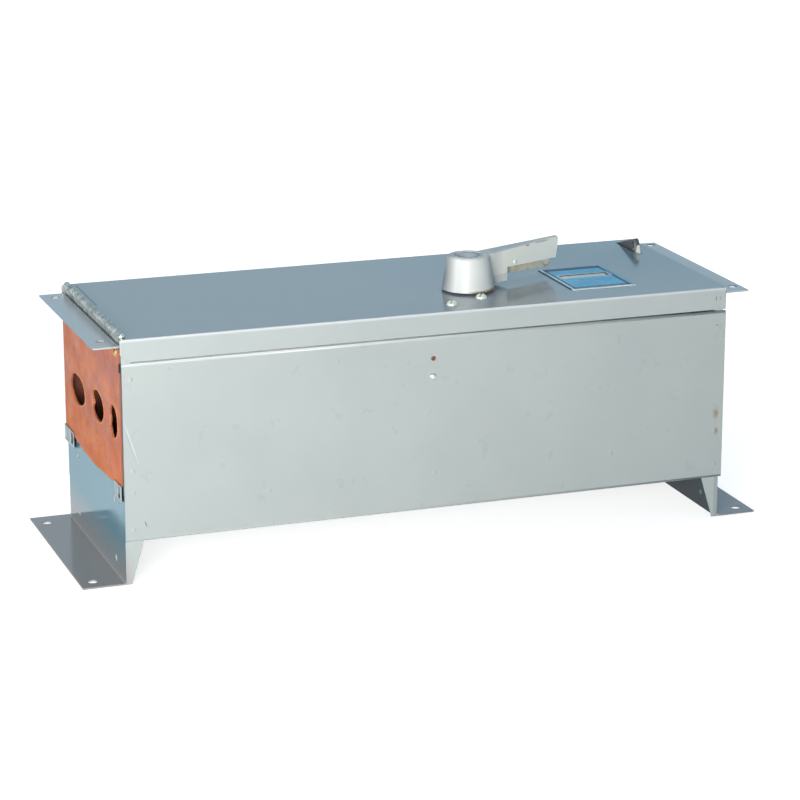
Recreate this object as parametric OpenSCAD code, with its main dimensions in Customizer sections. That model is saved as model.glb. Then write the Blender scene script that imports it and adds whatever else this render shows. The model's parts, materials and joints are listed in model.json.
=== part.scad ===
// Fusible switch box with a hinged lid, bolted on by feet and flanges at its ends.
// Origin: centre of the base rectangle, on the floor. X runs from the line end
// to the load end, Y from the front to the back, Z up. Millimetres.

/* [Enclosure] */
// Length over the two end plates
body_l = 610; // [560:5:700]
// Width over the side panels
body_w = 224.5; // [222:0.5:260]
// Height from the underside of the shell to the top of the lid
body_h = 195; // [185:5:240]
// Clear height of the legs below the shell
leg_h = 41.5; // [20:0.5:80]
// Thickness of the sheet steel
sheet_t = 1.6; // [1:0.1:2.2]
// Outer radius of the folds in the shell
fold_r = 3.2; // [2.4:0.2:5]
// Width of the inward shelf along each top edge of the shell
shelf_w = 14; // [8:1:20]
// Depth of the stiffening lip under each shelf
shelf_lip = 8; // [5:1:15]
// How far the side panels stand past the end plates
shell_over = 1; // [0.5:0.5:3]
// Radius of the inspection hole in the front panel
peep_r = 2.3; // [1.5:0.1:3]
// Depth of the inspection hole below the top of the lid
peep_drop = 45; // [40:1:60]
// Depth of the side screw below the top of the lid
side_screw_drop = 63; // [55:1:75]
// Head radius of the side screws
side_screw_r = 3.7; // [3:0.1:5]

/* [Lid] */
// Depth of the lid's front and back skirts
lid_skirt = 22; // [15:1:30]
// Gap between the skirts and the planes of the side panels
lid_side_gap = 0.3; // [0.2:0.1:1]
// Gap below the skirts
lid_under_gap = 1.3; // [0.8:0.1:3]
// Chamfer at the skirts' lower corners beside the hinge
lid_chamfer = 7.3; // [3:0.1:12]
// Gap between the lid's end hem and the load flange
hem_gap = 0.3; // [0.2:0.1:1]

/* [End plates] */
// How far the end plates sit inside the lid's ends
plate_recess = 1.5; // [0.5:0.5:3]
// Reach of the foot flanges
foot_reach = 41.5; // [36:0.5:60]
// Distance of the foot holes from the end plates
foot_hole_in = 28.5; // [20:0.5:29]
// Spacing of the foot holes across the box
foot_hole_span = 186; // [150:2:196]
// Offset of the lower hole patterns towards the back
lower_hole_shift = -1.6; // [-4:0.1:4]
// Radius of the foot holes
foot_hole_r = 4.8; // [3:0.1:6]
// Width of the side returns
return_w = 18; // [12:1:24]
// Width of the side returns at the foot
return_toe = 6; // [4:0.5:10]
// Width of the ears at the top of the side returns
return_ear = 9; // [6:0.5:11]
// Spacing of the small end holes across the box
end_hole_span = 144.4; // [100:0.4:160]
// Height of the lower end holes
end_hole_low = 15; // [10:1:22]
// Spacing of the small end holes in height
end_hole_rise = 58.4; // [50:0.4:62]
// Radius of the small end holes
end_hole_r = 3.3; // [2:0.1:4]
// Reach of the line end's top flange
line_flange_reach = 25.2; // [21:0.1:35]
// Width of the line end's top flange
line_flange_w = 216; // [200:1:218]
// Drop of the line end's top flange below the lid's top
line_flange_drop = 7.3; // [6.5:0.1:12]
// Distance of the line flange holes from the end plate
line_flange_hole_in = 12.2; // [9:0.1:14]
// Distance of the line flange holes from its side edges
line_flange_hole_side = 18; // [13:1:30]
// Reach of the load end's top flange
load_flange_reach = 26.9; // [23:0.1:35]
// Width of the load end's top flange
load_flange_w = 223; // [200:1:224]
// Drop of the load end's top flange below the lid's top
load_flange_drop = 5.2; // [4.5:0.1:7]
// Distance of the load flange holes from the end plate
load_flange_hole_in = 18.3; // [10:0.1:19]
// Distance of the load flange holes from its side edges
load_flange_hole_side = 14.5; // [12:0.5:30]
// Offset of the upper hole patterns towards the back
upper_hole_shift = 4.4; // [-5:0.1:5]
// Radius of the top flange holes
flange_hole_r = 4.5; // [3:0.1:5.5]
// Border of sheet left above and beside the window in the line end plate
window_border = 14; // [10:1:25]
// Radius of the conduit knockout in the load end plate
knockout_r = 32; // [20:1:38]
// Depth of the knockout's stamped groove
knockout_groove = 0.7; // [0.3:0.1:1]

/* [Fibre barrier] */
// Thickness of the fibre liners on the side panels
liner_t = 1; // [0.5:0.1:2]
// Thickness of the fibre barrier
barrier_t = 1.8; // [1.5:0.1:3]
// Gap between the barrier and the end plate
barrier_stand = 0.3; // [0.1:0.1:2]
// Drop of the barrier's top edge below the line flange
barrier_top_gap = 0.8; // [0.3:0.1:3]
// Height of the barrier at its deepest
barrier_h = 139; // [132:1:145]
// Depth of the long wave along the barrier's hand-cut lower edge
barrier_wave = 3.5; // [0:0.5:5]
// Half the height of the three cable holes
cable_hole_r = 16; // [12:0.5:18]
// Height of the cable holes above the mounting pan
cable_hole_rise = 66; // [52:1:75]
// Distance of the barrier's screws from its side edges
barrier_screw_in = 10; // [8:1:30]
// Drop of the barrier's screws below the line flange
barrier_screw_drop = 7; // [7:0.5:14]
// Shank radius of the barrier's screws
barrier_screw_r = 2.2; // [1.5:0.1:3]
// Head radius of the barrier's screws
barrier_screw_head = 4.4; // [3.5:0.1:6]
// Length of the strap clip that holds the barrier's lower corner at the back
clip_l = 36; // [25:1:45]
// Length of the strap clip at the front
front_clip_l = 24; // [18:1:40]
// Height of the strap clips
clip_h = 16; // [14:1:24]
// How far the clips reach below the barrier
clip_drop = 7.5; // [5:0.5:9]
// Thickness of the strap clips
clip_t = 1.2; // [0.8:0.1:2]

/* [Hinge] */
// Distance of the hinge's ends from the side panels' planes
hinge_side_in = 6.75; // [5.5:0.25:20]
// Number of knuckles, odd and even ones on different leaves
hinge_knuckles = 13; // [7:2:15]
// Radius of the hinge barrel
barrel_r = 3.3; // [2.8:0.1:4]
// Radius of the hinge pin
hinge_pin_r = 1.5; // [1:0.1:1.8]
// Thickness of the hinge leaves
leaf_t = 1.2; // [0.8:0.1:1.5]
// Width of the leaf under the lid
lid_leaf_w = 14; // [8:0.5:20]
// Height of the leaf on the end plate
body_leaf_h = 19; // [12:1:19]
// Gap between knuckles
knuckle_gap = 0.5; // [0.3:0.1:1]

/* [Hasp] */
// Distance of the padlock fin inside the load end plate
hasp_in = 20; // [12:1:30]
// Thickness of the padlock fin
hasp_t = 3; // [2:0.1:4]
// Length of the fin at the lid
hasp_l = 53; // [40:1:60]
// Distance of the fin's rear edge from the back panel
hasp_back = 11.25; // [8:0.25:40]
// Height of the fin above the lid
hasp_rise = 14; // [12:0.5:20]
// Radius of the padlock hole
hasp_hole_r = 3.6; // [2.5:0.1:4]
// Clearance round the fin in the lid's slot
hasp_clear = 1.2; // [1:0.1:2.5]

/* [Handle] */
// Place of the handle's axis along the box, right of its middle
axis_x = 63; // [50:0.5:75]
// Place of the handle's axis across the box
axis_y = -38; // [-44:0.5:-34]
// Radius of the knob at its base
knob_base_r = 25.8; // [22:0.2:30]
// Radius of the knob at its shoulder
knob_top_r = 20.6; // [17:0.2:22]
// Rounding of the knob's shoulder
knob_round = 3.4; // [2:0.2:5]
// Radius of the recess in the knob's top
knob_recess_r = 13.6; // [11:0.2:14]
// Height of the knob
knob_h = 33; // [28:0.5:40]
// Gap below the knob
knob_gap = 2; // [1:0.1:4]
// Reach of the lever from the handle's axis
lever_reach = 115.5; // [90:0.5:118]
// Thickness of the lever at its tip
lever_tip_w = 7; // [6:0.5:12]
// Thickness of the lever at the knob
lever_root_w = 22; // [16:0.5:30]
// Height of the lever's top above the lid at its tip
lever_tip_top = 37.5; // [34:0.5:44]
// Height of the grip's lower edge above the lid at its tip
lever_tip_low = 16.2; // [14:0.1:24]
// Height of the grip's lower edge above the lid at the web
lever_grip_low = 17.6; // [14:0.1:20]
// Distance of the web's outer edge from the handle's axis
lever_web = 43; // [36:1:50]
// Direction of the lever at rest, from the load end towards the back
lever_angle = 20; // [0:1:40]
// Turn of the handle from off to on
handle_turn = 90; // [80:5:95]
// Gap below the lever's web
web_gap = 4.2; // [4:0.1:6]
// Radius of the handle's shaft
shaft_r = 6; // [4:0.5:7]
// Running clearance of shafts in their bores
run_clear = 0.06; // [0.02:0.01:0.1]
// Border of the bearing plate round the lid's screws
bearing_margin = 8; // [6:0.5:12]
// Depth of the collar under the bearing plate
bearing_collar = 7; // [4:0.5:10]
// Thickness of the bearing plate
bearing_t = 3; // [2:0.5:4]
// Head radius of the screws in the lid
lid_screw_r = 5.4; // [4:0.1:6]
// Spacing of the two screws beside the handle
lid_screw_span = 72; // [64:1:76]
// Distance of the third screw from the handle's axis, towards the hinge
stop_screw_x = 36; // [30:1:40]
// Distance of the third screw from the handle's axis, towards the front
stop_screw_y = 52; // [46:1:56]
// Length of the sliding lock tongue
tongue_l = 62; // [35:1:64]
// Thickness of the lock tongue
tongue_t = 2; // [1.5:0.1:2.5]
// Travel of the lock tongue
tongue_travel = 12; // [6:1:14]

/* [Rating plate] */
// Length of the blank plate
plate_l = 67.4; // [50:0.2:80]
// Width of the blank plate
plate_w = 89; // [60:1:100]
// Thickness of the blank plate
plate_t = 0.8; // [0.5:0.1:1.5]
// Place of its left edge along the box, right of the middle
rating_x = 157; // [150:1:180]
// Place of its front edge across the box
rating_y = -77; // [-90:0.5:-60]

/* [Switch] */
// Height of the mounting pan above the underside of the shell
pan_rise = 42.5; // [38:0.5:46]
// Depth of the pan's side flanges
pan_flange = 12; // [8:1:16]
// Distance of the front pole from the inside of the front panel
pole_side = 28.65; // [28:0.05:34]
// Place of the middle pole across the box
pole_mid_y = -12; // [-16:1:-10]
// Border of the bases outside the outer poles
base_border = 24; // [22:0.5:25]
// Distance of the bases' screws from their ends
base_screw_in = 10; // [7:0.5:12]
// Height of the insulating bases
base_h = 20; // [14:1:24]
// Height of the blades' hinge axis above the base
blade_axis_rise = 28; // [26:0.5:32]
// Length of a blade from its hinge to its tip
blade_l = 80; // [74:1:84]
// Height of a blade
blade_h = 20; // [16:1:22]
// Thickness of a blade
blade_t = 3.2; // [2.4:0.2:4]
// Gap between a blade and each jaw leaf
jaw_gap = 0.35; // [0.3:0.05:0.6]
// Thickness of the jaw leaves and straps
jaw_t = 2; // [1.5:0.1:2.5]
// Radius of the blades' pivots
pivot_r = 4; // [3:0.5:5]
// Section of the crossbar
bar_s = 16; // [12:1:18]
// How far the crossbar reaches past the outer blades
bar_over = 16; // [8:1:17]
// Wall of the crossbar above and below the blades
bar_wall = 3; // [2:0.5:4]
// Distance of the crossbar from the hinge axis
bar_out = 38; // [34:1:40]
// Crank radius of the drive
crank_r = 20; // [16:1:21]
// Radius of the crank pin
crank_pin_r = 4; // [3:0.5:5]
// Radius of the yoke's slotted plate about the blades' axis
crank_rise = 40; // [38:0.5:43]
// Play of the crank pin in the yoke
yoke_play = 1.2; // [1.1:0.1:2]
// Thickness of the yoke
yoke_t = 3; // [2:0.5:4]
// Thickness of the mechanism frame
frame_t = 3; // [2:0.5:4]
// Half width of the mechanism frame
frame_half = 15; // [13:0.5:16]
// Length of the frame's foot
frame_foot = 18; // [14:1:24]
// Radius of the drive's journal
journal_r = 8; // [6:0.5:9]
// Number of arc plates in a chamber
arc_plates_n = 7; // [3:1:8]
// Pitch of the arc plates
arc_pitch = 5; // [4:0.5:5.5]

/* [Terminals and fuses] */
// Height of the barriers between fuses
phase_barrier_h = 60; // [40:1:75]
// Thickness of the barriers between fuses
phase_barrier_t = 1.6; // [1:0.1:2.4]
// Distance of those barriers from the line end of the fuse base
phase_barrier_in = 10; // [5:1:20]
// Height of the ribs between the poles on the bases
rib_h = 3; // [2:0.5:6]
// Length of a fuse over its blades
fuse_l = 117; // [100:1:140]
// Radius of a fuse barrel
fuse_r = 14.3; // [10:0.1:16]
// Length of a fuse barrel with its end caps
fuse_barrel_l = 67; // [55:1:75]
// Height of the fuse's axis above its base
fuse_rise = 22; // [20:1:28]
// Width of a fuse blade
fuse_blade_w = 19; // [14:1:20]
// Width of a lug
lug_w = 24; // [20:1:28]
// Height of a lug
lug_h = 28; // [22:1:32]
// Length of a lug
lug_l = 26; // [20:1:32]
// Radius of a lug's cable bore
lug_bore_r = 6.5; // [4:0.1:8]
// Radius of a lug's clamping screw
lug_screw_r = 5; // [4:0.5:6]
// Length of the ground bar
ground_l = 48; // [40:1:70]
// Width of the ground bar
ground_w = 16; // [12:1:17]
// Height of the ground bar
ground_h = 10; // [8:1:16]
// Gap between the ground bar and the switch base
ground_gap = 12; // [6:1:30]
// Gap between the ground bar and the liner
ground_side_gap = 4; // [2:0.5:5]

/* [Hidden] */
$fn = 48;
eps = 0.01;
end_x = body_l / 2;
lid_top = leg_h + body_h;
lid_under = lid_top - sheet_t;
lid_w = body_w + 2 * (sheet_t + lid_side_gap);
shell_h = body_h - lid_skirt - lid_under_gap;
side_in = body_w / 2 - sheet_t;
return_play = 0.4;
notch_w = sheet_t + return_play;
plate_half = side_in;
plate_x = end_x - plate_recess;
plate_in_x = plate_x - sheet_t;
line_flange_z = lid_top - line_flange_drop;
load_flange_z = lid_top - load_flange_drop;
hasp_y = body_w / 2 - hasp_back - hasp_l;

hinge_x = -end_x + barrel_r + 0.1;
hinge_z = lid_top + 0.9;
lid_edge_x = hinge_x + barrel_r + 0.4;
hinge_l = body_w - 2 * hinge_side_in;
knuckle_l = hinge_l / hinge_knuckles;
line_flange_hole_span = line_flange_w - 2 * line_flange_hole_side;
load_flange_hole_span = load_flange_w - 2 * load_flange_hole_side;

pan_z = leg_h + pan_rise;
barrier_screw_y = plate_half - barrier_screw_in;
barrier_screw_z = line_flange_z - barrier_screw_drop;
barrier_low = line_flange_z - sheet_t - barrier_top_gap - barrier_h;
base_z = pan_z + base_h;
blade_z = base_z + blade_axis_rise;
pole_pitch = side_in + pole_mid_y - pole_side;
poles = [for (i = [-1:1]) pole_mid_y + i * pole_pitch];
half_swing = asin(crank_r * sin(handle_turn / 2) / crank_rise);
blade_open = 2 * half_swing;
crank_arm_z = blade_z + crank_rise + 6;
crank_arm_t = 5;
frame_z = crank_arm_z + crank_arm_t + 0.4;
cup_z = frame_z + frame_t + 0.4;
cup_h = 12;
cup_r = 11;
cup_slot_w = 5;
tang_t = cup_slot_w - 0.8;

// ---- helpers ----
module block(x0, x1, y0, y1, z0, z1) translate([x0, y0, z0]) cube([x1 - x0, y1 - y0, z1 - z0]);
module rod_x(r, x0, x1) translate([x0, 0, 0]) rotate([0, 90, 0]) cylinder(r = r, h = x1 - x0);
module rod_y(r, y0, y1) translate([0, y0, 0]) rotate([-90, 0, 0]) cylinder(r = r, h = y1 - y0);
module both_sides() { children(); mirror([0, 1, 0]) children(); }
module at_poles() for (y = poles) translate([0, y, 0]) children();

// Upright slab with round corners
module slab(x0, x1, y0, y1, z0, z1, r) translate([0, 0, z0]) linear_extrude(z1 - z0) {
    translate([x0 + r, y0]) square([x1 - x0 - 2 * r, y1 - y0]);
    translate([x0, y0 + r]) square([x1 - x0, y1 - y0 - 2 * r]);
    for (x = [x0 + r, x1 - r], y = [y0 + r, y1 - r]) translate([x, y]) circle(r);
}

// Quarter ring of sheet, outer radius r, in the first quadrant
module fold(r, t) intersection() {
    difference() { circle(r); circle(r - t); }
    square(r + 1);
}

// Dome head of a screw, on the plane z = 0
module dome_head(r) intersection() {
    translate([0, 0, -r * 0.55]) sphere(r * 1.14);
    cylinder(r = r, h = r);
}

// ---- enclosure ----
// Half of the shell's section, in Y and Z above its underside
module shell_section() {
    w = body_w / 2;
    square([w - fold_r, sheet_t]);
    translate([w - fold_r, fold_r]) rotate(-90) fold(fold_r, sheet_t);
    translate([w - sheet_t, fold_r]) square([sheet_t, shell_h - 2 * fold_r]);
    translate([w - fold_r, shell_h - fold_r]) fold(fold_r, sheet_t);
    translate([w - shelf_w, shell_h - sheet_t]) square([shelf_w - fold_r, sheet_t]);
    translate([w - shelf_w, shell_h - shelf_lip]) square([sheet_t, shelf_lip]);
}

module body_shell() color("lightslategray") difference() {
    translate([-end_x - shell_over, 0, leg_h]) rotate([90, 0, 90])
        linear_extrude(body_l + 2 * shell_over) { shell_section(); mirror([1, 0]) shell_section(); }
    for (s = [-1, 1]) translate([s * (plate_x + plate_recess + shell_over + 5), 0, leg_h + shell_h / 2])
        cube([2 * (sheet_t + plate_recess + shell_over + 5), 2 * side_in, shell_h + 2], center = true);
    for (s = [-1, 1], k = [-1, 1]) translate([s * plate_x, k * (side_in - notch_w / 2), leg_h]) {
        cube([2 * (return_w + return_play), notch_w, 2 * fold_r], center = true);
        translate([0, 0, shell_h]) cube([2 * (return_ear + return_play), notch_w, 2 * fold_r], center = true);
    }
    translate([0, -side_in + 1, lid_top - peep_drop]) rotate([90, 0, 0]) cylinder(r = peep_r, h = 6);
}

// Section of an end plate, in X and Z: foot flange, plate and top flange
module end_section(flange_z, reach) {
    square([foot_reach, sheet_t]);
    translate([-sheet_t, 0]) square([sheet_t, flange_z]);
    translate([0, flange_z - sheet_t]) square([reach, sheet_t]);
}

// Side return, with an ear that closes the corner behind the lid's skirt
module side_return(flange_z) rotate([90, 0, 0]) linear_extrude(sheet_t) polygon([
    [0, 0], [0, flange_z], [-return_ear, flange_z], [-return_ear, leg_h + shell_h - fold_r],
    [-return_w, leg_h + shell_h - fold_r],
    [-return_w, leg_h], [-return_toe, sheet_t], [-return_toe, 0]]);

// End plate at the load end; the line end's is its mirror image
module end_plate(flange_z, reach, flange_w, hole_in, hole_span) difference() {
    union() {
        intersection() {
            rotate([90, 0, 0]) linear_extrude(body_w, center = true) end_section(flange_z, reach);
            union() {
                block(-20, 100, -plate_half, plate_half, -1, flange_z - sheet_t);
                block(-20, 0, -plate_half, plate_half, -1, flange_z + 1);
                block(-20, 100, -flange_w / 2, flange_w / 2, flange_z - sheet_t, flange_z + 1);
            }
        }
        translate([0, -plate_half + sheet_t, 0]) side_return(flange_z);
        translate([0, plate_half, 0]) side_return(flange_z);
    }
    for (s = [-1, 1]) {
        translate([foot_hole_in, lower_hole_shift + s * foot_hole_span / 2, -1])
            cylinder(r = foot_hole_r, h = sheet_t + 2);
        translate([hole_in, upper_hole_shift + s * hole_span / 2, flange_z - sheet_t - 1])
            cylinder(r = flange_hole_r, h = sheet_t + 2);
        for (z = [end_hole_low, end_hole_low + end_hole_rise])
            translate([0, lower_hole_shift + s * end_hole_span / 2, z]) rod_x(end_hole_r, -sheet_t - 1, 1);
    }
}

module line_end_plate() color("lightslategray") difference() {
    translate([-plate_x, 0, 0]) mirror([1, 0, 0])
        end_plate(line_flange_z, line_flange_reach, line_flange_w, line_flange_hole_in, line_flange_hole_span);
    block(-plate_x - 1, -plate_in_x + 1, -side_in + window_border, side_in - window_border,
        pan_z + window_border, line_flange_z - body_leaf_h - 2);
}

module load_end_plate() color("lightslategray") difference() {
    translate([plate_x, 0, 0])
        end_plate(load_flange_z, load_flange_reach, load_flange_w, load_flange_hole_in, load_flange_hole_span);
    translate([plate_x, 0, pan_z + 55]) rotate([0, 90, 0]) difference() {
        translate([0, 0, -knockout_groove]) cylinder(r = knockout_r, h = 2);
        translate([0, 0, -1]) cylinder(r = knockout_r - 1.5, h = 4);
    }
}

barrier_x = -plate_x - barrier_stand - barrier_t;
// Each hole was cut by hand: how far it missed its pole, in Y and Z, and how much longer it is along each
hole_misses = [[-1, 2, 0, 7], [-8, 1.5, 4, 0], [0, -4, 16, 0]];
// Lower edge of the fibre, cut by hand in a long wave with a small ripple
function wave_z(y) = barrier_wave * (1 - cos(y * 1.3 - 4)) + 0.5 * sin(y * 7);

// Hole with straight sides, and round ends wherever it is longer than it is wide
module cut_hole(r, long_y, long_z) {
    for (s = [-0.5, 0.5]) translate([0, s * long_y, s * long_z]) rod_x(r, -1, barrier_t + 1);
    if (long_y > 0) block(-1, barrier_t + 1, -long_y / 2, long_y / 2, -r, r);
    if (long_z > 0) block(-1, barrier_t + 1, -r, r, -long_z / 2, long_z / 2);
}

module fibre_barrier() color("peru") {
    top = line_flange_z - sheet_t - barrier_top_gap;
    w = plate_half - 0.4;
    corner = 8;
    translate([barrier_x, 0, 0]) difference() {
        rotate([90, 0, 90]) linear_extrude(barrier_t) polygon(concat([[w, top], [-w, top]],
            [[-w, top - barrier_h + wave_z(-w) + corner]],
            [for (y = [-w + corner:w / 14:w + eps]) [y, top - barrier_h + wave_z(y)]]));
        for (i = [0:2]) let (miss = hole_misses[i])
            translate([0, poles[i] + miss[0], pan_z + cable_hole_rise + miss[1]])
                cut_hole(cable_hole_r - miss[3] / 2, miss[2], miss[3]);
        both_sides() translate([0, barrier_screw_y, barrier_screw_z]) rod_x(barrier_screw_r, -1, barrier_t + 1);
    }
}

module barrier_screws() color("gold") both_sides()
    translate([barrier_x, barrier_screw_y, barrier_screw_z]) {
        rotate([0, -90, 0]) dome_head(barrier_screw_head);
        rod_x(barrier_screw_r, -1, barrier_t + barrier_stand);
    }

// Strap welded to the end plate, with a slot; the fibre's lower corner sits behind it
module strap_clip(length, slot_in) {
    x = barrier_x - 0.1;
    z = barrier_low - clip_drop;
    slot_half = 4;
    difference() {
        union() {
            block(x - clip_t, x, plate_half - length, plate_half, z, z + clip_h);
            block(x - clip_t, -plate_x, plate_half - length, plate_half, z, z + 1.5);
        }
        block(x - clip_t - 1, x + 1, plate_half - slot_in - slot_half, plate_half - slot_in + slot_half,
            z + 3, z + clip_h - 2);
    }
}
module barrier_clips() color("silver") {
    strap_clip(clip_l, clip_l * 0.8);
    mirror([0, 1, 0]) strap_clip(front_clip_l, front_clip_l * 0.3);
}

// A liner on each side panel, and at its ends a flap over the end plate's return
module side_liners() color("peru") {
    top = leg_h + shell_h - shelf_lip - 1;
    both_sides() block(-plate_in_x + return_w + 1, plate_in_x - return_w - 1, side_in - liner_t, side_in, pan_z, top);
    for (s = [-1, 1]) scale([s, 1, 1]) both_sides()
        block(plate_in_x - return_w + 0.5, plate_in_x - 0.5, side_in - sheet_t - liner_t, side_in - sheet_t, pan_z, top);
}

module side_screws() color("gainsboro")
    translate([0, -body_w / 2, lid_top - side_screw_drop]) rotate([90, 0, 0]) dome_head(side_screw_r);

module padlock_hasp() color("dimgray") {
    x = end_x - hasp_in;
    z0 = leg_h + shell_h + 3;
    translate([x - hasp_t / 2, 0, 0]) difference() {
        rotate([90, 0, 90]) linear_extrude(hasp_t) polygon([
            [hasp_y, z0], [hasp_y + hasp_l, z0], [hasp_y + hasp_l, lid_top + 0.4],
            [hasp_y + 11, lid_top + hasp_rise - 0.4], [hasp_y + 8, lid_top + hasp_rise],
            [hasp_y + 6, lid_top + hasp_rise - 1.5], [hasp_y, lid_top - 1]]);
        translate([0, hasp_y + 13.5, lid_top + 6]) rod_x(hasp_hole_r, -1, hasp_t + 1);
    }
    block(x + hasp_t / 2, plate_in_x, hasp_y, hasp_y + hasp_l, z0, z0 + hasp_t);
}

// ---- hinge ----
module knuckles(first) for (i = [first:2:hinge_knuckles - 1])
    translate([0, -hinge_l / 2 + i * knuckle_l + knuckle_gap / 2, 0]) rotate([-90, 0, 0])
        cylinder(r = barrel_r, h = knuckle_l - knuckle_gap);
module hinge_bore() rod_y(hinge_pin_r + run_clear, -hinge_l, hinge_l);
module at_hinge() translate([hinge_x, 0, hinge_z]) children();

module hinge_body_leaf() color("silver") {
    x0 = -plate_in_x - hinge_x;
    z_top = -barrel_r - leaf_t;
    at_hinge() difference() {
        union() {
            knuckles(0);
            block(x0, x0 + leaf_t, -hinge_l / 2, hinge_l / 2, z_top - body_leaf_h, z_top);
            for (i = [0:2:hinge_knuckles - 1]) translate([0, -hinge_l / 2 + i * knuckle_l + knuckle_gap / 2, 0])
                block(x0, x0 + leaf_t, 0, knuckle_l - knuckle_gap, z_top - 1, 0);
        }
        hinge_bore();
    }
}

module hinge_lid_leaf() color("silver") at_hinge() difference() {
    union() {
        knuckles(1);
        block(barrel_r + 0.4, barrel_r + 0.4 + lid_leaf_w, -hinge_l / 2, hinge_l / 2,
            lid_under - hinge_z - leaf_t, lid_under - hinge_z);
        for (i = [1:2:hinge_knuckles - 1]) translate([0, -hinge_l / 2 + i * knuckle_l + knuckle_gap / 2, 0])
            block(0, barrel_r + 1, 0, knuckle_l - knuckle_gap, lid_under - hinge_z - leaf_t, lid_under - hinge_z);
    }
    hinge_bore();
}

module hinge_pin() color("silver") at_hinge() rod_y(hinge_pin_r, -hinge_l / 2 - 1.5, hinge_l / 2 + 1.5);

// ---- switch and fuses ----
module mounting_pan() color("silver") {
    block(-plate_in_x + return_w + 4, plate_in_x - return_w - 4, -side_in, side_in, pan_z - sheet_t, pan_z);
    both_sides() block(-plate_in_x + return_w + 4, plate_in_x - return_w - 4,
        side_in - sheet_t, side_in, pan_z - pan_flange, pan_z);
}

frame_foot_y0 = pole_mid_y - pole_pitch / 2 + 2;
base_half = pole_pitch + base_border;
switch_x0 = axis_x - blade_l - 96;
switch_x1 = axis_x + 24;
fuse_x0 = switch_x1 + 6;
line_clip_x = fuse_x0 + 18;
load_clip_x = line_clip_x + fuse_l - fuse_blade_w;
fuse_x1 = load_clip_x + 46;
line_lug_x = switch_x0 + 8;
load_lug_x = fuse_x1 - 8 - lug_l;
strap_w = 20;

// Moulded base: a raised rib between poles, a creepage groove along each side of it, and lightened flanks
rib_w = 3;
groove_w = 3;
groove_h = 2.5;
base_round = 5;
flank_w = 12;
flank_in = 22;
module insulating_base(x0, x1) {
    y0 = pole_mid_y - base_half;
    y1 = pole_mid_y + base_half;
    rib_ys = [for (s = [-0.5, 0.5]) pole_mid_y + s * pole_pitch];
    difference() {
        slab(x0, x1, y0, y1, pan_z, base_z, base_round);
        for (y = rib_ys, s = [-1, 1]) translate([0, y + s * (rib_w + groove_w) / 2, 0])
            block(x0 - 1, x1 + 1, -groove_w / 2, groove_w / 2, base_z - groove_h, base_z + 1);
        for (y = [y0 - 1, y1 - flank_w + 1]) block(x0 + flank_in, x1 - flank_in, y, y + flank_w, base_z - base_h / 2, base_z + 1);
    }
    for (y = rib_ys) block(x0, x1, y - rib_w / 2, y + rib_w / 2, base_z - eps, base_z + rib_h);
}
module switch_base() color("saddlebrown") insulating_base(switch_x0, switch_x1);
module fuse_base() color("saddlebrown") insulating_base(fuse_x0, fuse_x1);
module base_screws() color("silver") {
    for (ends = [[switch_x0, switch_x1], [fuse_x0, fuse_x1]], x = ends + [base_screw_in, -base_screw_in], s = [-1, 1])
        translate([x, pole_mid_y + s * (base_half - 6), base_z]) cylinder(r = 5, h = 4, $fn = 6);
    frame_screw();
}

module strap(x0, x1) block(x0, x1, -strap_w / 2, strap_w / 2, base_z, base_z + jaw_t);
module leaves(x0, x1, gap, z0, z1) both_sides() block(x0, x1, gap, gap + jaw_t, z0, z1);

// Pair of spring leaves whose tips flare apart
flare_h = 5;
flare_out = 1.6;
module flared_leaves(x0, x1, gap, z0, z1) both_sides()
    translate([x0, 0, 0]) rotate([90, 0, 90]) linear_extrude(x1 - x0) polygon([
        [gap, z0], [gap + jaw_t, z0], [gap + jaw_t, z1 - flare_h], [gap + jaw_t + flare_out, z1],
        [gap + flare_out, z1], [gap, z1 - flare_h]]);

jaw_leaf_y = blade_t / 2 + jaw_gap;
jaw_x0 = axis_x - blade_l - 2;
jaw_x1 = axis_x - blade_l + 18;
module line_jaws() color("orange") at_poles() {
    strap(line_lug_x, jaw_x1);
    block(jaw_x0, jaw_x1, -jaw_leaf_y - jaw_t, jaw_leaf_y + jaw_t, base_z, blade_z - blade_h / 2 - 1.5);
    flared_leaves(jaw_x0, jaw_x1, jaw_leaf_y, base_z, blade_z + blade_h / 2 - 1);
}
module hinge_jaws() color("orange") at_poles() difference() {
    union() {
        strap(axis_x - 10, line_clip_x - clip_half);
        block(axis_x - 10, axis_x + 10, -jaw_leaf_y - jaw_t, jaw_leaf_y + jaw_t, base_z, blade_z - blade_h / 2 - 2);
        leaves(axis_x - 10, axis_x + 10, jaw_leaf_y, base_z, blade_z + blade_h / 2);
    }
    translate([axis_x, 0, blade_z]) rod_y(pivot_r, -20, 20);
}
module blade_pivots() color("silver") at_poles() translate([axis_x, 0, blade_z]) {
    rod_y(pivot_r, -jaw_leaf_y - jaw_t - 4, jaw_leaf_y + jaw_t);
    both_sides() translate([0, jaw_leaf_y + jaw_t, 0]) rotate([-90, 0, 0]) cylinder(r = pivot_r + 3, h = 4, $fn = 6);
}

chamber_x0 = jaw_x0 - 12;
chamber_x1 = axis_x - bar_out - bar_s / 2 - 6;
chamber_half = 17;
chamber_top = blade_z + blade_h / 2 + arc_plates_n * arc_pitch - 1;
chamber_wall = 2;
chamber_slope = 12;
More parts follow.
